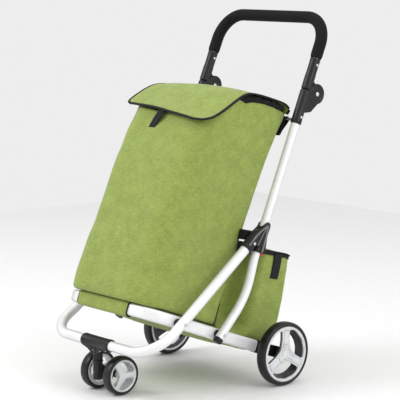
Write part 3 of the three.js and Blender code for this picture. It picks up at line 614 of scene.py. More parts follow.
def add_handle():
    corners = mirrored([at_x(MAIN_X, on_main(z)) for z in (FOAM_FROM_Z + 0.5, HANDLE_TOP_Z)])
    path = spread(rounded_path(corners, [HANDLE_BEND] * 2, 5), 150)
    sizes = [1.0] * len(path)
    for i, less in enumerate((2.2, 0.9, 0.3)):
        sizes[i] = sizes[-1 - i] = 1 - less / GRIP_R
    Shape().sweep(path, circle(GRIP_R, 36), normals=MAIN_BACK, sizes=sizes).build(
        "foam_sleeve", "handle", [foam], "grip_foam", ["grip_foam"], sharp=60)


def add_rivet(name, body, place, reach, radius, flat, nodes=(), ends=(1, -1)):
    """Round heads on the ends of a pin that lies along X."""
    heads = Shape()
    for end in ends:
        heads.ball(place + X_AXIS * reach * end, radius, flat)
    heads.build(name, body, *ZINC, nodes)


def add_stems():
    """Black sleeves on the tubes, with the round folding joint behind them."""
    hinge_back, hinge_along = ((HINGE - on_main(HINGE.z)).dot(way) for way in (MAIN_BACK, MAIN_UP))
    lower_steps = ((729, 13.3), (730, 14.9), (733, 15.5), (741, 15.5), (744, 14.8), (790, 15.0),
                   (815, 15.2), (820, 14.9), (821.6, 13.4))
    upper_steps = ((823.4, 13.2), (824.6, 14.8), (829, 15.1), (862, 15.0), (868, 14.4), (896, 14.3),
                   (901, 14.9), (906, 14.9), (907.8, 13.4))
    inner, outer = 5.7, 15
    disc = ((0.02, inner), (27.6, inner), (28.8, inner + 0.8), (29, outer - 3.4), (28.2, outer - 1.2),
            (26.2, outer - 0.2), (23.4, outer), (21.8, outer - 1.3), (9.4, outer - 1.6), (8.2, outer - 0.1),
            (0.02, outer))
    tongue = ((0.02, -5), (26.5, -5), (28, -4), (28, 4), (26.5, 5), (0.02, 5))
    arm = [on_main(764, 0, -4), on_main(798, 30, -2), on_main(798, 30, hinge_back * 0.55),
           on_main(810, hinge_along + 8, hinge_back + 14), on_main(810, hinge_along - 20, hinge_back + 16),
           on_main(772, 0, 30), on_main(764, 0, 12)]
    web = [on_main(z, 0, back) for z, back in ((824, 0), (860, 4), (846, 26), (826, 40), (824, 20))]
    for word, side in SIDES:
        x, hinge = side * MAIN_X, at_x(side * MAIN_X, HINGE)
        foot, rise = at_x(x, on_main(0)), MAIN_UP / MAIN_UP.z
        lower = Shape().stack(lower_steps, foot, rise, MAIN_BACK)
        for way in (-1, 1):
            lower.lathe(disc, hinge, way=side * way, parts=56)
        for low, high in ((-14, -5.8), (5.8, 14)):
            lower.prism(arm, x + low, x + high)
        lower.build(f"stem_sleeve_lower_{word}", "main_frame", *BLACK, [f"lower_stem_{word}"], bevel=0.9)
        upper = Shape().stack(upper_steps, foot, rise, MAIN_BACK)
        upper.lathe(tongue, hinge, parts=56).prism(web, x - 4.8, x + 4.8)
        upper.build(f"stem_sleeve_upper_{word}", "handle", *BLACK, [f"upper_stem_{word}"], bevel=0.9)
        add_rivet(f"hinge_rivet_{word}", "main_frame", hinge, outer + 0.2, 6.2, 0.4, [f"hinge_pin_{word}"])
        add_rivet(f"sleeve_rivet_{word}", "main_frame", at_x(x, on_main(748)), outer + 0.2, 3.9, 0.4,
                  ends=(side,))
        add_rivet(f"upper_rivet_{word}", "handle", at_x(x, on_main(891)), STEM_R + 0.2, 3.9, 0.45,
                  [f"stem_rivet_{word}"])


# ---- sliding bracket ----
BRACKET_Z = 405
LEG_UP = (PIVOT_BRACKET - Vector((0, -350, 214))).normalized()
LEG_OUT = Vector((0, LEG_UP.z, -LEG_UP.y))


def on_bracket(along, back, x=0):
    """A point by a main tube's axis, from the middle of the sliding bracket."""
    return at_x(x, on_main(BRACKET_Z, along, back))


def bracket_ring(along, side):
    """One round of the shell: a squared oval over the tube and the leg, with an arched lower edge."""
    offset = PIVOT_BRACKET - on_main(BRACKET_Z)
    leg_rate = LEG_UP.dot(MAIN_BACK) / LEG_UP.dot(MAIN_UP)
    leg_back = min(offset.dot(MAIN_BACK) + (along - offset.dot(MAIN_UP)) * leg_rate, 0)
    grow = 14.4 if along > 61.5 else 15.8 if along > 60 else 16.6
    front = leg_back - grow * (1.12 if along < 48 else 1.0)
    half = grow + 0.9 * ease(48 - along, 0, 20)
    middle, reach = (front + grow) / 2, (grow - front) / 2
    ring = []
    for a, b in circle(1, 56):
        arch = 17 * b * b * ease(along, 24, 60)
        x = side * (MAIN_X + 0.6 + half * squared(a, 2 / 2.6))
        ring.append(on_bracket(along - arch, middle + reach * squared(b, 2 / 2.6), x))
    return ring


def add_brackets():
    """Mitre-shaped shell holding the main tube and the top of the leg."""
    sleeve = ((4, 15.5), (-20, 15.8), (-21, 16.6), (-25, 16.6), (-26, 15.2))
    collar = ((14, 17.2), (-10, 17.2), (-20, 17.4), (-21, 18.2), (-24.5, 18.2), (-25.5, 16.6))
    housing = [on_bracket(a, b) for a, b in ((-22, 10), (-22, 24), (-6, 24), (16, 19), (34, 15), (34, 8))]
    button = [on_bracket(a, b) for a, b in ((-31.5, 16.4), (-32.5, 18), (-31.5, 21), (-12, 21), (-12, 14.8),
                                            (-29, 14.8))]
    for word, side in SIDES:
        x, face_x = side * MAIN_X, side * (MAIN_X + 17.2)
        levels = (62, 61, 58.5, 53, 46, 38, 30, 20, 10, 2, -6, -10)
        shell = Shape().tube([bracket_ring(along, side) for along in levels])
        shell.stack(sleeve, on_bracket(0, 0, x), MAIN_UP, MAIN_BACK)
        shell.stack(collar, at_x(side * LEG_X, PIVOT_BRACKET), LEG_UP, LEG_OUT)
        shell.prism(housing, x - 8.6, x + 8.6)
        shell.build(f"bracket_shell_{word}", "slide_brackets", *BLACK, [f"bracket_{word}"], bevel=0.8)
        lip = at_x(face_x, PIVOT_BRACKET - LEG_UP * 17 - LEG_OUT * 9)
        apex, crotch, heel = (on_bracket(a, b, face_x) for a, b in ((52, -2), (-10, -17), (-22, 5)))
        ribs = Shape()
        for end, bow, thick in ((lip, -5.0, 2.2), (crotch, -1.5, 2.0), (heel, 2.5, 3.2)):
            middle = apex.lerp(end, 0.45) + MAIN_BACK * bow
            ribs.sweep(smooth_through([apex, middle, end], 10), circle(thick, 14))
        # The ribs are light grey as a painted highlight on the black shell.
        ribs.build(f"bracket_ribs_{word}", "slide_brackets", [painted_highlight_plastic], "black_plastic")
        Shape().prism(button, x - 6, x + 6).build(
            f"button_{word}", f"release_button_{word}", [red_plastic], "button_red",
            [f"release_button_{word}"], bevel=1.4)
        add_rivet(f"leg_rivet_{word}", "slide_brackets", at_x(side * LEG_X, PIVOT_BRACKET), 17.8, 4.6, 0.42,
                  [f"leg_pivot_rivet_{word}"], ends=(side,))


# ---- wheels ----
def fan_hole(middle, low, high, spoke):
    """Outline of one opening between two spokes, in polar coordinates round the hub."""
    points = []
    for a, b in circle(1, 72):
        sharp, square = (0.22, 0.30) if a > 0 else (0.72, 0.62)
        radius = (low + high) / 2 + squared(a, sharp) * (high - low) / 2
        half = math.radians(60) - math.asin(min(spoke / radius, 0.8))
        angle = middle + squared(b, square) * half
        points.append((radius * math.cos(angle), radius * math.sin(angle)))
    return points


def cut_plate(name, outer, holes, half, edge):
    """A bevelled flat plate with holes, as (points, faces) in its own plane."""
    data = bpy.data.curves.new(name, "CURVE")
    data.dimensions, data.fill_mode = "2D", "BOTH"
    data.extrude, data.bevel_depth, data.bevel_resolution, data.offset = half - edge, edge, 2, -edge
    for outline in (outer, *holes):
        spline = data.splines.new("POLY")
        spline.points.add(len(outline) - 1)
        for point, (a, b) in zip(spline.points, outline):
            point.co = (a, b, 0, 1)
        spline.use_cyclic_u = True
    holder = bpy.data.objects.new(name, data)
    bpy.context.scene.collection.objects.link(holder)
    bpy.context.view_layer.update()
    made = bpy.data.meshes.new_from_object(holder.evaluated_get(bpy.context.evaluated_depsgraph_get()))
    points = [v.co.copy() for v in made.vertices]
    faces = [tuple(p.vertices) for p in made.polygons]
    bpy.data.objects.remove(holder)
    bpy.data.curves.remove(data)
    bpy.data.meshes.remove(made)
    return points, faces


def add_plate(shape, centre, x, way, points, faces, slot=0):
    """Puts a cut plate across the X axis at x, its face towards way."""
    first = len(shape.points)
    for p in points:
        shape.points.append(centre + Vector((x + way * p.z, p.x, p.y)))
    for corners in faces:
        uvs = [(points[k].x * 0.001, points[k].y * 0.001) for k in corners]
        shape.face([first + k for k in corners], slot, uvs)


def star(arm, tip, hub, start):
    """Outline of a three-armed raised panel."""
    points = []
    steps = ((0.40, 1.0), (0.6, 0.85), (0.85, 0.85), (0.97, 1.0), (1.0, 0.8))
    for k in range(3):
        aim = math.radians(start + 120 * k)
        side = Vector((-math.sin(aim), math.cos(aim)))
        out = Vector((math.cos(aim), math.sin(aim)))
        valley = aim - math.radians(60)
        points.append((math.cos(valley) * hub, math.sin(valley) * hub))
        for way, ordered in ((-1, steps), (1, steps[::-1])):
            points += [tuple(out * tip * share + side * way * arm * half) for share, half in ordered]
    return points


def add_tyre(name, body, centre, side, sizes, inn, out, nodes):
    """Rounded tread with two fine grooves."""
    radius, rim, width = sizes[0], sizes[1], sizes[-1]
    crown = radius - rim
    profile = [(radius - crown * drop * 1.2, inn + width * share)
               for share, drop in ((0.0, 0.62), (0.03, 0.34), (0.10, 0.13), (0.22, 0.03), (0.36, 0.0))]
    profile += [(r, inn + out - x) for r, x in reversed(profile)]
    profile += [(rim + 1.2, out - width * 0.02), (rim - 0.4, out - 1.8), (rim - 0.4, inn + 1.8),
                (rim + 1.2, inn + width * 0.02)]
    tyre = Shape().lathe(profile, centre, way=side, parts=96)
    groove = radius - crown * 0.02
    for share in (0.42, 0.58):
        line = [(groove + rise, inn + width * (share + shift))
                for rise, shift in ((0.25, -0.02), (0.25, 0.02), (-1, 0))]
        tyre.lathe(line, centre, way=side, parts=96)
    tyre.build(f"{name}_tread", body, *RUBBER, nodes, sharp=50)


def add_rim(name, body, centre, side, sizes, inn, out, nodes, barrel_silver_and_painted_shade, start):
    """Ringed rim with three flared spokes on each face, raised panels on the outer one, and its hub."""
    radius, rim, bore, hub, width = sizes
    wheel = Shape()
    lip_out, lip_in = out - 1.0, inn + 1.0
    lip = ((bore + 1.4, 5), (bore, 2.2), (bore + 0.8, 0.5), (rim - 2, 0), (rim - 0.5, 1.5), (rim - 0.5, 5))
    for edge, way in ((lip_out, -1), (lip_in, 1)):
        wheel.lathe([(r, edge + way * depth) for r, depth in lip], centre, way=side, parts=96)
    # Slot 1 takes the drum inside the ring, the panel seams, the hub barrel and the spokes' inner face: dark
    # grey painted shade on the rear wheels, plain silver on the caster's.
    drum = [(bore * 0.84, lip_in + 2), (bore * 0.96, (out + inn) / 2), (bore + 1.6, lip_out - 4),
            (rim - 0.6, lip_out - 4), (rim - 0.6, lip_in + 2)]
    wheel.lathe(drum, centre, way=side, parts=96, slot=1)
    spoke = radius * 0.15
    holes = [fan_hole(math.radians(start - 60 + 120 * k), bore * 0.32, bore - 1, spoke) for k in range(3)]
    plate = cut_plate(name, circle(bore + 1.5, 120), holes, width * 0.09, width * 0.04)
    face = out - width * 0.17
    add_plate(wheel, centre, side * face, side, *plate)
    front = face + width * 0.09
    for arm, tip, middle, half, level, seam_level in ((spoke * 0.72, bore * 0.93, hub * 0.95, 1.1, 0, -0.1),
                                                      (spoke * 0.5, hub * 1.5, hub * 0.8, 1.0, 1.0, 1.1)):
        panel = cut_plate(name, star(arm, tip, middle, start), [], half, half - 0.3)
        seam = cut_plate(name, star(arm + 0.8, tip + 0.8, middle + 0.9, start), [], 0.35, 0.1)
        add_plate(wheel, centre, side * (front + level), side, *panel)
        add_plate(wheel, centre, side * (front + seam_level), side, *seam, slot=1)
    barrel = [(0.02, inn + width * 0.06), (hub * 0.72, inn + width * 0.06), (hub * 0.78, inn + width * 0.1),
              (hub * 0.9, face - 1), (0.02, face - 1)]
    wheel.lathe(barrel, centre, way=side, slot=1)
    add_plate(wheel, centre, side * (face - width * 0.17), -side, *plate, slot=1)
    wheel.build(f"{name}_spokes", body, [rim_silver, barrel_silver_and_painted_shade], "rim_silver", nodes, sharp=32)


def add_wheels():
    """Two rear wheels with hub caps and the caster's pair. Sizes: radius, rim, bore, hub and width."""
    rear, caster = (90, 79, 72, 19, 31), (53.6, 45, 40.5, 12, 30)
    rear_out, caster_out = 260, 64
    cap = [(0.02, rear_out - 2.4), (11.6, rear_out - 2.4), (12.6, rear_out - 1.8), (12.2, rear_out),
           (9, rear_out + 0.25), (0.02, rear_out + 0.3)]
    axle = Z_AXIS * REAR_AXLE_Z
    for word, side in SIDES:
        # The rear wheels' second material is dark grey painted shade; the caster's is its own silver.
        for kind, centre, out, sizes, barrel, start in (
                ("rear", axle, rear_out, rear, barrel_painted_shade, 90),
                ("caster", CASTER_AXLE, caster_out, caster, rim_silver, 0)):
            name = f"{kind}_wheel_{word}"
            place = (name, name, centre, side, sizes, out - sizes[-1], out)
            add_tyre(*place, [f"{kind}_tyre_{word}"])
            add_rim(*place, [f"{kind}_rim_{word}"], barrel, start)
            if kind == "rear":
                Shape().lathe(cap, centre, way=side, parts=40).build(
                    f"{name}_cap", name, [rim_silver], "rim_silver", [f"rear_hub_cap_{word}"])


# ---- caster ----
def add_caster():
    half_steps = ((58, 16.0), (57.2, 17.2), (54, 17.8), (49, 17.8), (47, 17.2))
    steps = [(-x, r) for x, r in half_steps] + [(x, r) for x, r in reversed(half_steps)]
    clamp = Shape().stack(steps, FRONT_CROSS, X_AXIS, Z_AXIS, 40)
    swivel = Y_AXIS * CASTER_SWIVEL_Y
    socket = ((0.02, 93.4), (12.2, 93.4), (13.4, 94.2), (13.4, 98), (12.8, 99), (13.6, 118), (16, 126),
              (16, 134), (0.02, 134))
    clamp.lathe(socket, swivel, axis="Z", parts=40)
    rib = ((10, 136), (47, 134), (44, 127), (27, 121), (10, 112))
    shelf = ((-13, 121), (13, 121), (13, 125), (-13, 125))
    for way in (-1, 1):
        for inner in (-14.5, 11.5):
            clamp.tube([[swivel + Vector((way * x, y, z)) for x, z in rib] for y in (inner, inner + 3)])
        clamp.tube([[swivel + Vector((way * x, y, z + rise)) for y, z in shelf]
                    for x, rise in ((12, 0), (44, 5.12))])
    clamp.build("caster_clamp_shell", "front_frame", *BLACK, ["caster_clamp"], bevel=0.9)
    for number, place in enumerate(((-50, -478, 128), (50, -478, 128), (27, -479, 123), (-27, -479, 123))):
        Shape().ball(Vector(place), 2.4, 0.6, axis="Z").build(f"clamp_screw_{number}", "front_frame", *ZINC)
    stem = ((0.02, 39), (10.5, 39), (12.4, 41), (12.6, 64), (13.6, 64.6), (13.6, 67.4), (12.8, 68),
            (13.0, 88), (14.4, 89.5), (14.4, 92.0), (13.6, 92.7), (0.02, 92.7))
    arm = ((-468, 40), (-440, 40.5), (-424, 41), (-413, 47), (-411, 56), (-416, 64), (-438, 70), (-456, 82),
           (-468, 82))
    half_hub = [(0.02, 32.5), (9.4, 32.5), (10.2, 31.5), (10.2, 13), (12, 12)]
    fork = Shape().lathe(stem, swivel, axis="Z", parts=40)
    fork.prism([Vector((0, y, z)) for y, z in arm], -10.5, 10.5)
    fork.lathe([(r, -x) for r, x in half_hub] + half_hub[::-1], CASTER_AXLE, parts=32)
    fork.build("caster_fork_shell", "caster_fork", *BLACK, ["caster_fork"], bevel=2.0)


# ---- bag ----
def crown_z(y):
    if y <= CROWN[0][0]:
        return CROWN[0][1]
    for (y0, z0), (y1, z1) in zip(CROWN, CROWN[1:]):
        if y <= y1:
            return z0 + (z1 - z0) * (y - y0) / (y1 - y0)
    return CROWN[-1][1] + (CROWN[-1][0] - y) * 0.7


def bag_loop(inset, count):
    """Evenly spaced plan points (x, depth) round the bag, from the middle of its rear."""
    half, front, rear = BAG_HALF - inset, inset, BAG_DEPTH - inset
    big, small = max(78 - inset, 5), max(20 - inset, 5)
    corners = ((half - small, rear - small, small, 90), (half - big, front + big, big, 0),
               (big - half, front + big, big, -90), (small - half, rear - small, small, -180))
    return plan_loop(rear, corners, -90, 12, count)


def bag_height(depth, lift):
    """How far up the bag's own axis a plane over the platform is met, at a depth from the front."""
    on_plane = PLATFORM_REAR + PLATFORM_NORMAL * lift
    reach = (on_plane - BAG_FRONT_LOW).dot(PLATFORM_NORMAL) - depth * BAG_BACK.dot(PLATFORM_NORMAL)
    return reach / BAG_UP.dot(PLATFORM_NORMAL)


def rim_height(depth, drop, front_drop):
    """How far up the bag's axis the crown line is met, lowered more behind than in front."""
    low, high = 250.0, 760.0
    for _ in range(30):
        middle = (low + high) / 2
        point = BAG_FRONT_LOW + BAG_UP * middle + BAG_BACK * depth
        lowered = front_drop + (drop - front_drop) * ease(point.y, -132, -92)
        if point.z < crown_z(point.y) - lowered:
            low = middle
        else:
            high = middle
    return low


def bag_point(x, depth, height):
    return at_x(x, BAG_FRONT_LOW + BAG_UP * height + BAG_BACK * depth)


def sagged(x, depth, height, share, outward):
    """The empty bag's slack: front bellies out, rear edges pull in, soft dents all over."""
    side_pull, rear_pull, front_belly, dents, folds = 6, 7, 10, 4.2, 1.4
    pinch = math.sin(math.pi * min(max(share, 0), 1)) ** 1.1
    belly = math.sin(math.pi * min(share * 1.15, 1) ** 0.8)
    rearness = ease(depth, 0.25 * BAG_DEPTH, BAG_DEPTH)
    frontness = 1 - ease(depth, 0, 0.5 * BAG_DEPTH)
    x -= math.copysign(min(abs(x) / BAG_HALF, 1) ** 2 * side_pull * pinch * (0.5 + 0.5 * rearness), x)
    depth += rearness * (4 * ease(share, 0.04, 0.3) - rear_pull * pinch + 5 * ease(share, 0.82, 1.0))
    foot, top = 6 * (1 - ease(share, 0.02, 0.4)), 9 * ease(share, 0.86, 1.0)
    depth -= frontness * (foot + front_belly * belly - top)
    place = bag_point(x, depth, height)
    free = ease(share, 0.0, 0.12) * (1 - 0.75 * ease(share, 0.9, 1.0))
    dent = dents * wander(Vector((place.x, place.y, place.z * 0.8)), 150, 3) + 1.5 * wander(place, 52, 5)
    slant = place.z * 0.5 + place.x * 0.8 + place.y * 0.6
    fold = folds * math.sin(slant / 21 + 3 * wander(place, 120, 7)) * max(wander(place, 90, 9), 0)
    return place + outward * (dent + fold) * free


def loop_normals(loop):
    out = []
    for i, (x, d) in enumerate(loop):
        ahead, behind = loop[(i + 1) % len(loop)], loop[i - 1]
        way = X_AXIS * (ahead[0] - behind[0]) + BAG_BACK * (ahead[1] - behind[1])
        normal = way.cross(BAG_UP).normalized()
        centre = X_AXIS * x + BAG_BACK * (d - BAG_DEPTH / 2)
        out.append(normal if normal.dot(centre) > 0 else -normal)
    return out


def add_bag():
    loop = bag_loop(0, 168)
    outward = loop_normals(loop)
    levels = [0, 0.3, 1.2, 3, 6, 10, 15] + [22 + 7.4 * i for i in range(66)]
    rows = []
    for level in levels:
        share = level / levels[-1]
        tuck = HEM_TUCK * round_in(level / HEM_ROUND, 1)
        line = []
        for (x, depth), out in zip(loop, outward):
            low = bag_height(depth, BAG_LIFT + 0.8)
            high = rim_height(depth, RIM_DROP, -1 - 8 * ease(-x, 0, 120))
            line.append(sagged(x, depth, low + (high - low) * share, share, out) - out * tuck)
        rows.append(line)
    bag = Shape().grid(rows, wrap=True, caps=(True, False)).build(
        "bag_body", None, *CLOTH, ["bag_shell"], sharp=70, thick=2.0)
    apply_modifiers(bag)
    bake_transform(bag)
    hem = [bag_point(x, depth, bag_height(depth, BAG_LIFT + 1.6) + 2) - out * 4.4
           for (x, depth), out in zip(loop, outward)]
    Shape().sweep(hem, circle(2.3, 10), wrap=True).build("bag_piping", "platform", *TAPE)


def apply_modifiers(piece):
    """Bakes a piece's modifiers into its mesh."""
    bpy.context.view_layer.update()
    made = bpy.data.meshes.new_from_object(piece.evaluated_get(bpy.context.evaluated_depsgraph_get()))
    piece.modifiers.clear()
    piece.data = made


def add_collar():
    """Gathered black hood cloth between the rim and the flap."""
    loop = bag_loop(7, 360)
    outward = loop_normals(loop)
    rows = []
    for k in range(13):
        share = k / 12
        gather = share * (1 - 0.35 * share)
        line = []
        for i, ((x, depth), out) in enumerate(zip(loop, outward)):
            low, high = rim_height(depth, RIM_DROP + 12, 26), rim_height(depth, 5.0, 12)
            ragged = 3.0 * wander(Vector((i * 2.3, 0, 0)), 11, 11)
            crinkle = 3.4 * math.sin(i * 0.62 + 2.6 * wander(Vector((i * 1.1, k * 5.0, 0)), 14, 13))
            lump = 2.4 * wander(Vector((i * 3.1, k * 9.0, 4)), 12, 15)
            lean = -6 * share ** 2 - 1.5 + 13 * share * ease(depth, 0.35 * BAG_DEPTH, BAG_DEPTH)
            height = low + (high - low + ragged - 1) * share
            line.append(bag_point(x, depth, height) + out * ((crinkle + lump) * gather + lean))
        rows.append(line)
    hood = Shape().grid(rows, wrap=True).build(
        "gathered_collar", "main_frame", [collar_cloth], "trim_fabric", ["bag_collar"], sharp=80, thick=0.8)


# ---- flap ----
FLAP_HALF = 176
FLAP_CORNERS = (18, 46)
FLAP_RIGHT = ((62, 753), (70, 766), (50, 783), (2, 798), (-50, 811), (-86, 815), (-112, 808), (-141, 793),
              (-178, 773), (-214, 757), (-249, 744))
FLAP_MIDDLE = ((58, 760), (60, 775), (30, 798), (-10, 813), (-50, 824), (-90, 829), (-128, 825), (-160, 812),
               (-192, 795), (-220, 780), (-248, 767))
FLAP_LEFT = ((60, 754), (68, 768), (48, 788), (0, 804), (-48, 816), (-90, 822), (-129, 820), (-160, 810),
             (-190, 796), (-210, 785), (-229, 773))


def flap_profile(points, count):
    return spread(smooth_through([Vector((0, y, z)) for y, z in points]), count)


def flap_rows(count=56, across=44):
    """The flap's points; the arcs at its front corners are tighter on the left than on the right."""
    right, middle, left = (flap_profile(p, count) for p in (FLAP_RIGHT, FLAP_MIDDLE, FLAP_LEFT))
    length = run_lengths(middle)
    rows = []
    for i in range(count):
        to_front = (length[-1] - length[i]) * 1000
        low, high = (1 - round_in(to_front, corner) / FLAP_HALF for corner in FLAP_CORNERS)
        line = []
        for j in range(across + 1):
            s = -low + (low + high) * j / across
            p = right[i] * (s * (s + 1) / 2) + middle[i] * (1 - s * s) + left[i] * (s * (s - 1) / 2)
            p = at_x(s * FLAP_HALF, p)
            p.z += 1.6 * wander(p, 70, 21) * (1 - s ** 4)
            line.append(p)
        rows.append(line)
    return rows


def border_frames(rows, places):
    """Surface normals at places of a grid."""
    out = []
    for i, j in places:
        up = rows[min(i + 1, len(rows) - 1)][j] - rows[max(i - 1, 0)][j]
        over = rows[i][min(j + 1, len(rows[0]) - 1)] - rows[i][max(j - 1, 0)]
        normal = over.cross(up).normalized()
        out.append(normal if normal.z > -0.2 else -normal)
    return out


def sheet_border(rows):
    """Grid places down one side, along the last row and back up the other side."""
    last, across = len(rows) - 1, len(rows[0]) - 1
    return ([(i, 0) for i in range(last)] + [(last, j) for j in range(across)]
            + [(i, across) for i in range(last, -1, -1)])


def add_binding(name, rows, body, wide, thick):
    """Tape folded over a sheet's two sides and its last row."""
    places = sheet_border(rows)
    path, normals = [], []
    for (i, j), normal in zip(places, border_frames(rows, places)):
        if not path or (rows[i][j] - path[-1]).length > 1.5:
            path.append(rows[i][j])
            normals.append(normal)
    Shape().sweep(path, lens(wide, thick), normals=normals).build(name, body, *TAPE, sharp=60)


def add_flap():
    rows = flap_rows()
    flap = Shape().grid(rows).build("flap_sheet", "flap", *CLOTH, ["bag_flap"], sharp=70, thick=2.2)
    add_binding("flap_binding", rows, "flap", 7.6, 5.2)


def add_front_tab():
    """Closing tab that comes out from under the flap and hangs slanting on the bag's front."""
    top, left, wide, drop, slant = 541, -11, 26, 68, 37
    rows = []
    for k in range(15):
        share = k / 14
        lift = 6.0 - 10.0 * share + 2.2 * math.sin(math.pi * share)
        rows.append([bag_point(left + wide * j / 6 - slant * share, -lift, top - drop * share)
                     for j in range(7)])
    tab = Shape().grid(rows).build("front_closing_tab", "main_frame", *TAPE, ["front_tab"], thick=2.4)


def add_rear_hangers():
    """Webbing loops that hang the bag's back on the cross rod, with the rod itself."""
    rod_z, rod_back = 742, 8
    half = MAIN_X - STEM_R - 0.3
    rod = [at_x(x, on_main(rod_z, 0, rod_back)) for x in (-half, half)]
    Shape().sweep(rod, circle(4.4, 24)).build("cross_rod", "main_frame", *ZINC, ["bag_cross_rod"])
    route = ((-54, -13), (-38, -11.5), (-14, -9), (-2, -7), (5, -3), (6, 1), (0, 6.2), (-12, 3), (-36, -7),
             (-51, -10.5))
    strip = [(12, 0.9), (-12, 0.9), (-12, -0.9), (12, -0.9)]
    for number, x in enumerate((-158, 0, 158)):
        line = smooth_through([at_x(x, on_main(rod_z, a, rod_back + b)) for a, b in route], 6)
        loop = Shape().sweep(line, strip, across=X_AXIS).build(
            f"rod_loop_{number}", "main_frame", *TAPE, bevel=0.4)


# ---- platform cloth ----
def on_platform(x, back, lift):
    """A point by the platform's front cross tube: back along the platform, lift off it."""
    return at_x(x, PLATFORM_FRONT + PLATFORM_ALONG * back + PLATFORM_NORMAL * lift)


def sleeve_ring(x, slack, flare):
    """A round of the cloth sleeve, hanging a little below the tube."""
    half_wide, half_tall = PLATFORM_WIDE / 2 + 2.2, PLATFORM_TALL / 2 + 1.9
    ring = []
    for a, b in stadium(2 * half_wide, 2 * half_tall, 10):
        loose = slack * wander(Vector((x, a * 3, b * 3)), 34, 31)
        drop = 2.5 * ease(-b, 0, half_tall) * flare
        ring.append(on_platform(x, a + math.copysign(loose, a), b - drop))
    return ring


def add_cradle():
    """Cloth sleeve round the front cross tube, and the sling that runs back under the bag."""
    reach = 106
    rows = []
    for k in range(29):
        x = -reach + 2 * reach * k / 28
        rows.append(sleeve_ring(x, 0.8, 1 - (x / reach) ** 4 * 0.6))
    cloth = Shape().grid(rows, wrap=True).build("cradle_sleeve", "platform", *CLOTH, sharp=75, thick=1.6)
    for word, side in SIDES:
        Shape().sweep(sleeve_ring(side * reach, 0, 0.4), circle(1.7, 8), wrap=True).build(
            f"cradle_edge_{word}", "platform", *TAPE)
    first, long, half_sling, corner = 9, 389, 166, 70
    rows = []
    for i in range(41):
        back = first + long * i / 40
        half = half_sling - round_in(back, corner)
        line = []
        for j in range(31):
            s = 2 * j / 30 - 1
            sag = 5 * ease(back, 120, 250) * (1 - ease(back, 330, 398)) * (1 - s ** 4)
            ripple = 1.2 * wander(Vector((s * 160, back, 0)), 46, 33) * ease(back, 20, 90)
            line.append(on_platform(s * half, back, -14.6 - 3.4 * ease(back, 60, 240) - sag + ripple))
        rows.append(line)
    under = Shape().grid(rows).build(
        "cradle_sling", "platform", *CLOTH, ["platform_cradle"], sharp=75, thick=1.8)


# ---- rear pocket ----
POCKET_HALF, POCKET_DEPTH = 158, 205
POCKET_FRONT = (Vector((0, -166, 158)), Vector((0, -96, 385)))
POCKET_REAR = (Vector((0, 46, 94)), Vector((0, 103, 342)))
LID_WAY = (POCKET_REAR[1] - POCKET_FRONT[1]).normalized()
LID_UP = Vector((0, -LID_WAY.z, LID_WAY.y))


def pocket_loop(count):
    """Evenly spaced plan points round the pocket; the share is 0 at its front and 1 at its rear."""
    r = 9.0
    x, rear = POCKET_HALF - r, POCKET_DEPTH - r
    corners = ((x, r, r, -90), (x, rear, r, 0), (-x, rear, r, 90), (-x, r, r, 180))
    return [(x, depth / POCKET_DEPTH) for x, depth in plan_loop(0, corners, 90, 8, count)]


def add_pocket():
    loop = pocket_loop(150)
    tuck_in, tuck_height, belly_out = 9, 0.05, 5
    rows = []
    levels = [0, 0.006, 0.02, 0.045, 0.075] + [0.11 + 0.89 * i / 34 for i in range(35)]
    for level in levels:
        line = []
        front = POCKET_FRONT[0].lerp(POCKET_FRONT[1], level)
        rear = POCKET_REAR[0].lerp(POCKET_REAR[1], level)
        across = (rear - front).normalized()
        tuck = tuck_in * round_in(level / tuck_height, 1)
        for x, share in loop:
            side = abs(x) / POCKET_HALF
            gusset = ease(side, 0.86, 1.0) * (1 - ease(share, 0.28, 0.54)) * ease(level, 0.0, 0.2)
            crease = ease(side, 0.9, 1.0) * math.exp(-((share - 0.34) / 0.07) ** 2) * 6
            belly = belly_out * math.sin(math.pi * level) * ease(share, 0.85, 1.0)
            p = at_x(x * (1 - 0.5 * gusset) - math.copysign(tuck + crease, x), front.lerp(rear, share))
            p += across * (tuck * (1 - 2 * share) * 0.8 + belly)
            bump = 2.4 * wander(p, 74, 41) + 1.0 * wander(p, 30, 43)
            outward = across * (2 * share - 1) if side < 0.9 else X_AXIS * math.copysign(1, x)
            line.append(p + outward * bump * ease(level, 0, 0.15) * (1 - 0.7 * ease(level, 0.85, 1)))
        rows.append(line)
    pocket = Shape().grid(rows, wrap=True, caps=(True, False)).build(
        "pocket_body", "main_frame", *CLOTH, ["rear_pocket"], sharp=70, thick=1.8)


def on_lid(x, forward, rise):
    return at_x(x, POCKET_FRONT[1] + LID_WAY * forward + LID_UP * rise)


def lid_rows():
    """The lid's points, crowned in its middle and turned down at its rear edge."""
    length, past = (POCKET_REAR[1] - POCKET_FRONT[1]).length, 6
    rows = []
    for i in range(31):
        forward = 2 + (length + past - 2) * i / 30
        half = POCKET_HALF + 3 - round_in(length + past - forward, 16)
        line = []
        for j in range(41):
            s = 2 * j / 40 - 1
            rise = 4.5 + (11 * (1 - s * s) + 3) * math.sin(math.pi * i / 30)
            rise += 1.4 * wander(Vector((s * 160, forward, 0)), 60, 51)
            rise -= 3.5 * ease(forward, length - 20, length + past)
            line.append(on_lid(s * half, forward, rise))
        rows.append(line)
    return rows


def add_pocket_lid():
    rows = lid_rows()
    lid = Shape().grid(rows).build("lid_sheet", "pocket_lid", *CLOTH, ["pocket_lid"], sharp=70, thick=2.0)
    add_binding("lid_binding", rows, "pocket_lid", 6.0, 4.4)
    edge = spread([rows[i][j] for i, j in sheet_border(rows)], 150)
    skirt = Shape().grid([[p - LID_UP * drop for p in edge] for drop in (0.5, 4, 7.5, 11)]).build(
        "lid_skirt", "pocket_lid", *TAPE, thick=1.6)


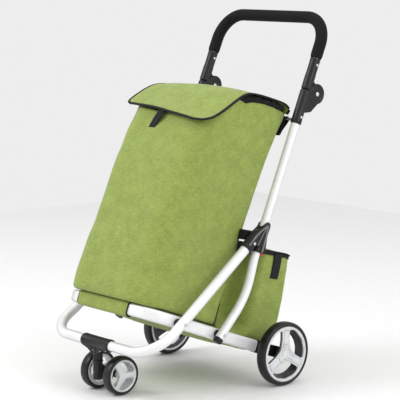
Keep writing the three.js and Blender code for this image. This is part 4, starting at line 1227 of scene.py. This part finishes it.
def add_lid_tab():
    """Closing tab on the lid's right side."""
    first, wide, drop = 139, 30, 72
    rows = []
    for k in range(13):
        share = k / 12
        out = 2.6 + 1.6 * math.sin(math.pi * share) + 2.0 * (1 - share)
        rows.append([on_lid(POCKET_HALF + out, first + wide * j / 4, 3 - drop * share) for j in range(5)])
    tab = Shape().grid(rows).build("lid_closing_tab", "pocket_lid", *TAPE, ["pocket_tab"], thick=2.2)


def add_pocket_hangers():
    """Webbing blocks that hold the pocket's upper front corners to the frame."""
    for word, side in SIDES:
        strap = Shape()
        for inner, low, high, front, rear in ((168, 27, 55, -22, 24), (169, -10, 22, -20, 24)):
            outline = [on_lid(0, forward, rise) for forward, rise in (
                (front, low), (rear, low), (rear - 3, high), (front + 2, high))]
            strap.prism(outline, side * inner, side * 195)
        strap.build(f"pocket_hanger_{word}", "main_frame", *TAPE, [f"pocket_strap_{word}"], bevel=1.5)


# ---- CAD nodes that stay, with better materials ----
KEPT = {
    "axle_bracket": black_plastic, "leg_spacer": black_plastic, "main_spacer": black_plastic,
    "main_pivot_rivet": zinc, "platform_rivet": zinc,
}


def finish_cad_nodes():
    chosen = {f"{name}_{word}": material for name, material in KEPT.items() for word, _ in SIDES}
    chosen.update(rear_axle=zinc, caster_axle=zinc, handle_tube=tube_metal, base_board=board)
    for name, material in chosen.items():
        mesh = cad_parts[name].data
        mesh.materials.clear()
        mesh.materials.append(material)


def add_floor():
    half_size, squares = 3.0, 24
    tool = bmesh.new()
    bmesh.ops.create_grid(tool, x_segments=squares, y_segments=squares, size=half_size)
    mesh = bpy.data.meshes.new("floor")
    tool.to_mesh(mesh)
    tool.free()
    mesh.materials.append(floor_paint)
    floor = bpy.data.objects.new("floor", mesh)
    bpy.context.scene.collection.objects.link(floor)


add_camera()
add_studio()
add_floor()
add_main_tubes()
add_platform_tube()
add_front_frame()
add_handle()
add_stems()
add_brackets()
add_wheels()
add_caster()
add_bag()
add_collar()
add_flap()
add_front_tab()
add_rear_hangers()
add_cradle()
add_pocket()
add_pocket_lid()
add_lid_tab()
add_pocket_hangers()
finish_cad_nodes()
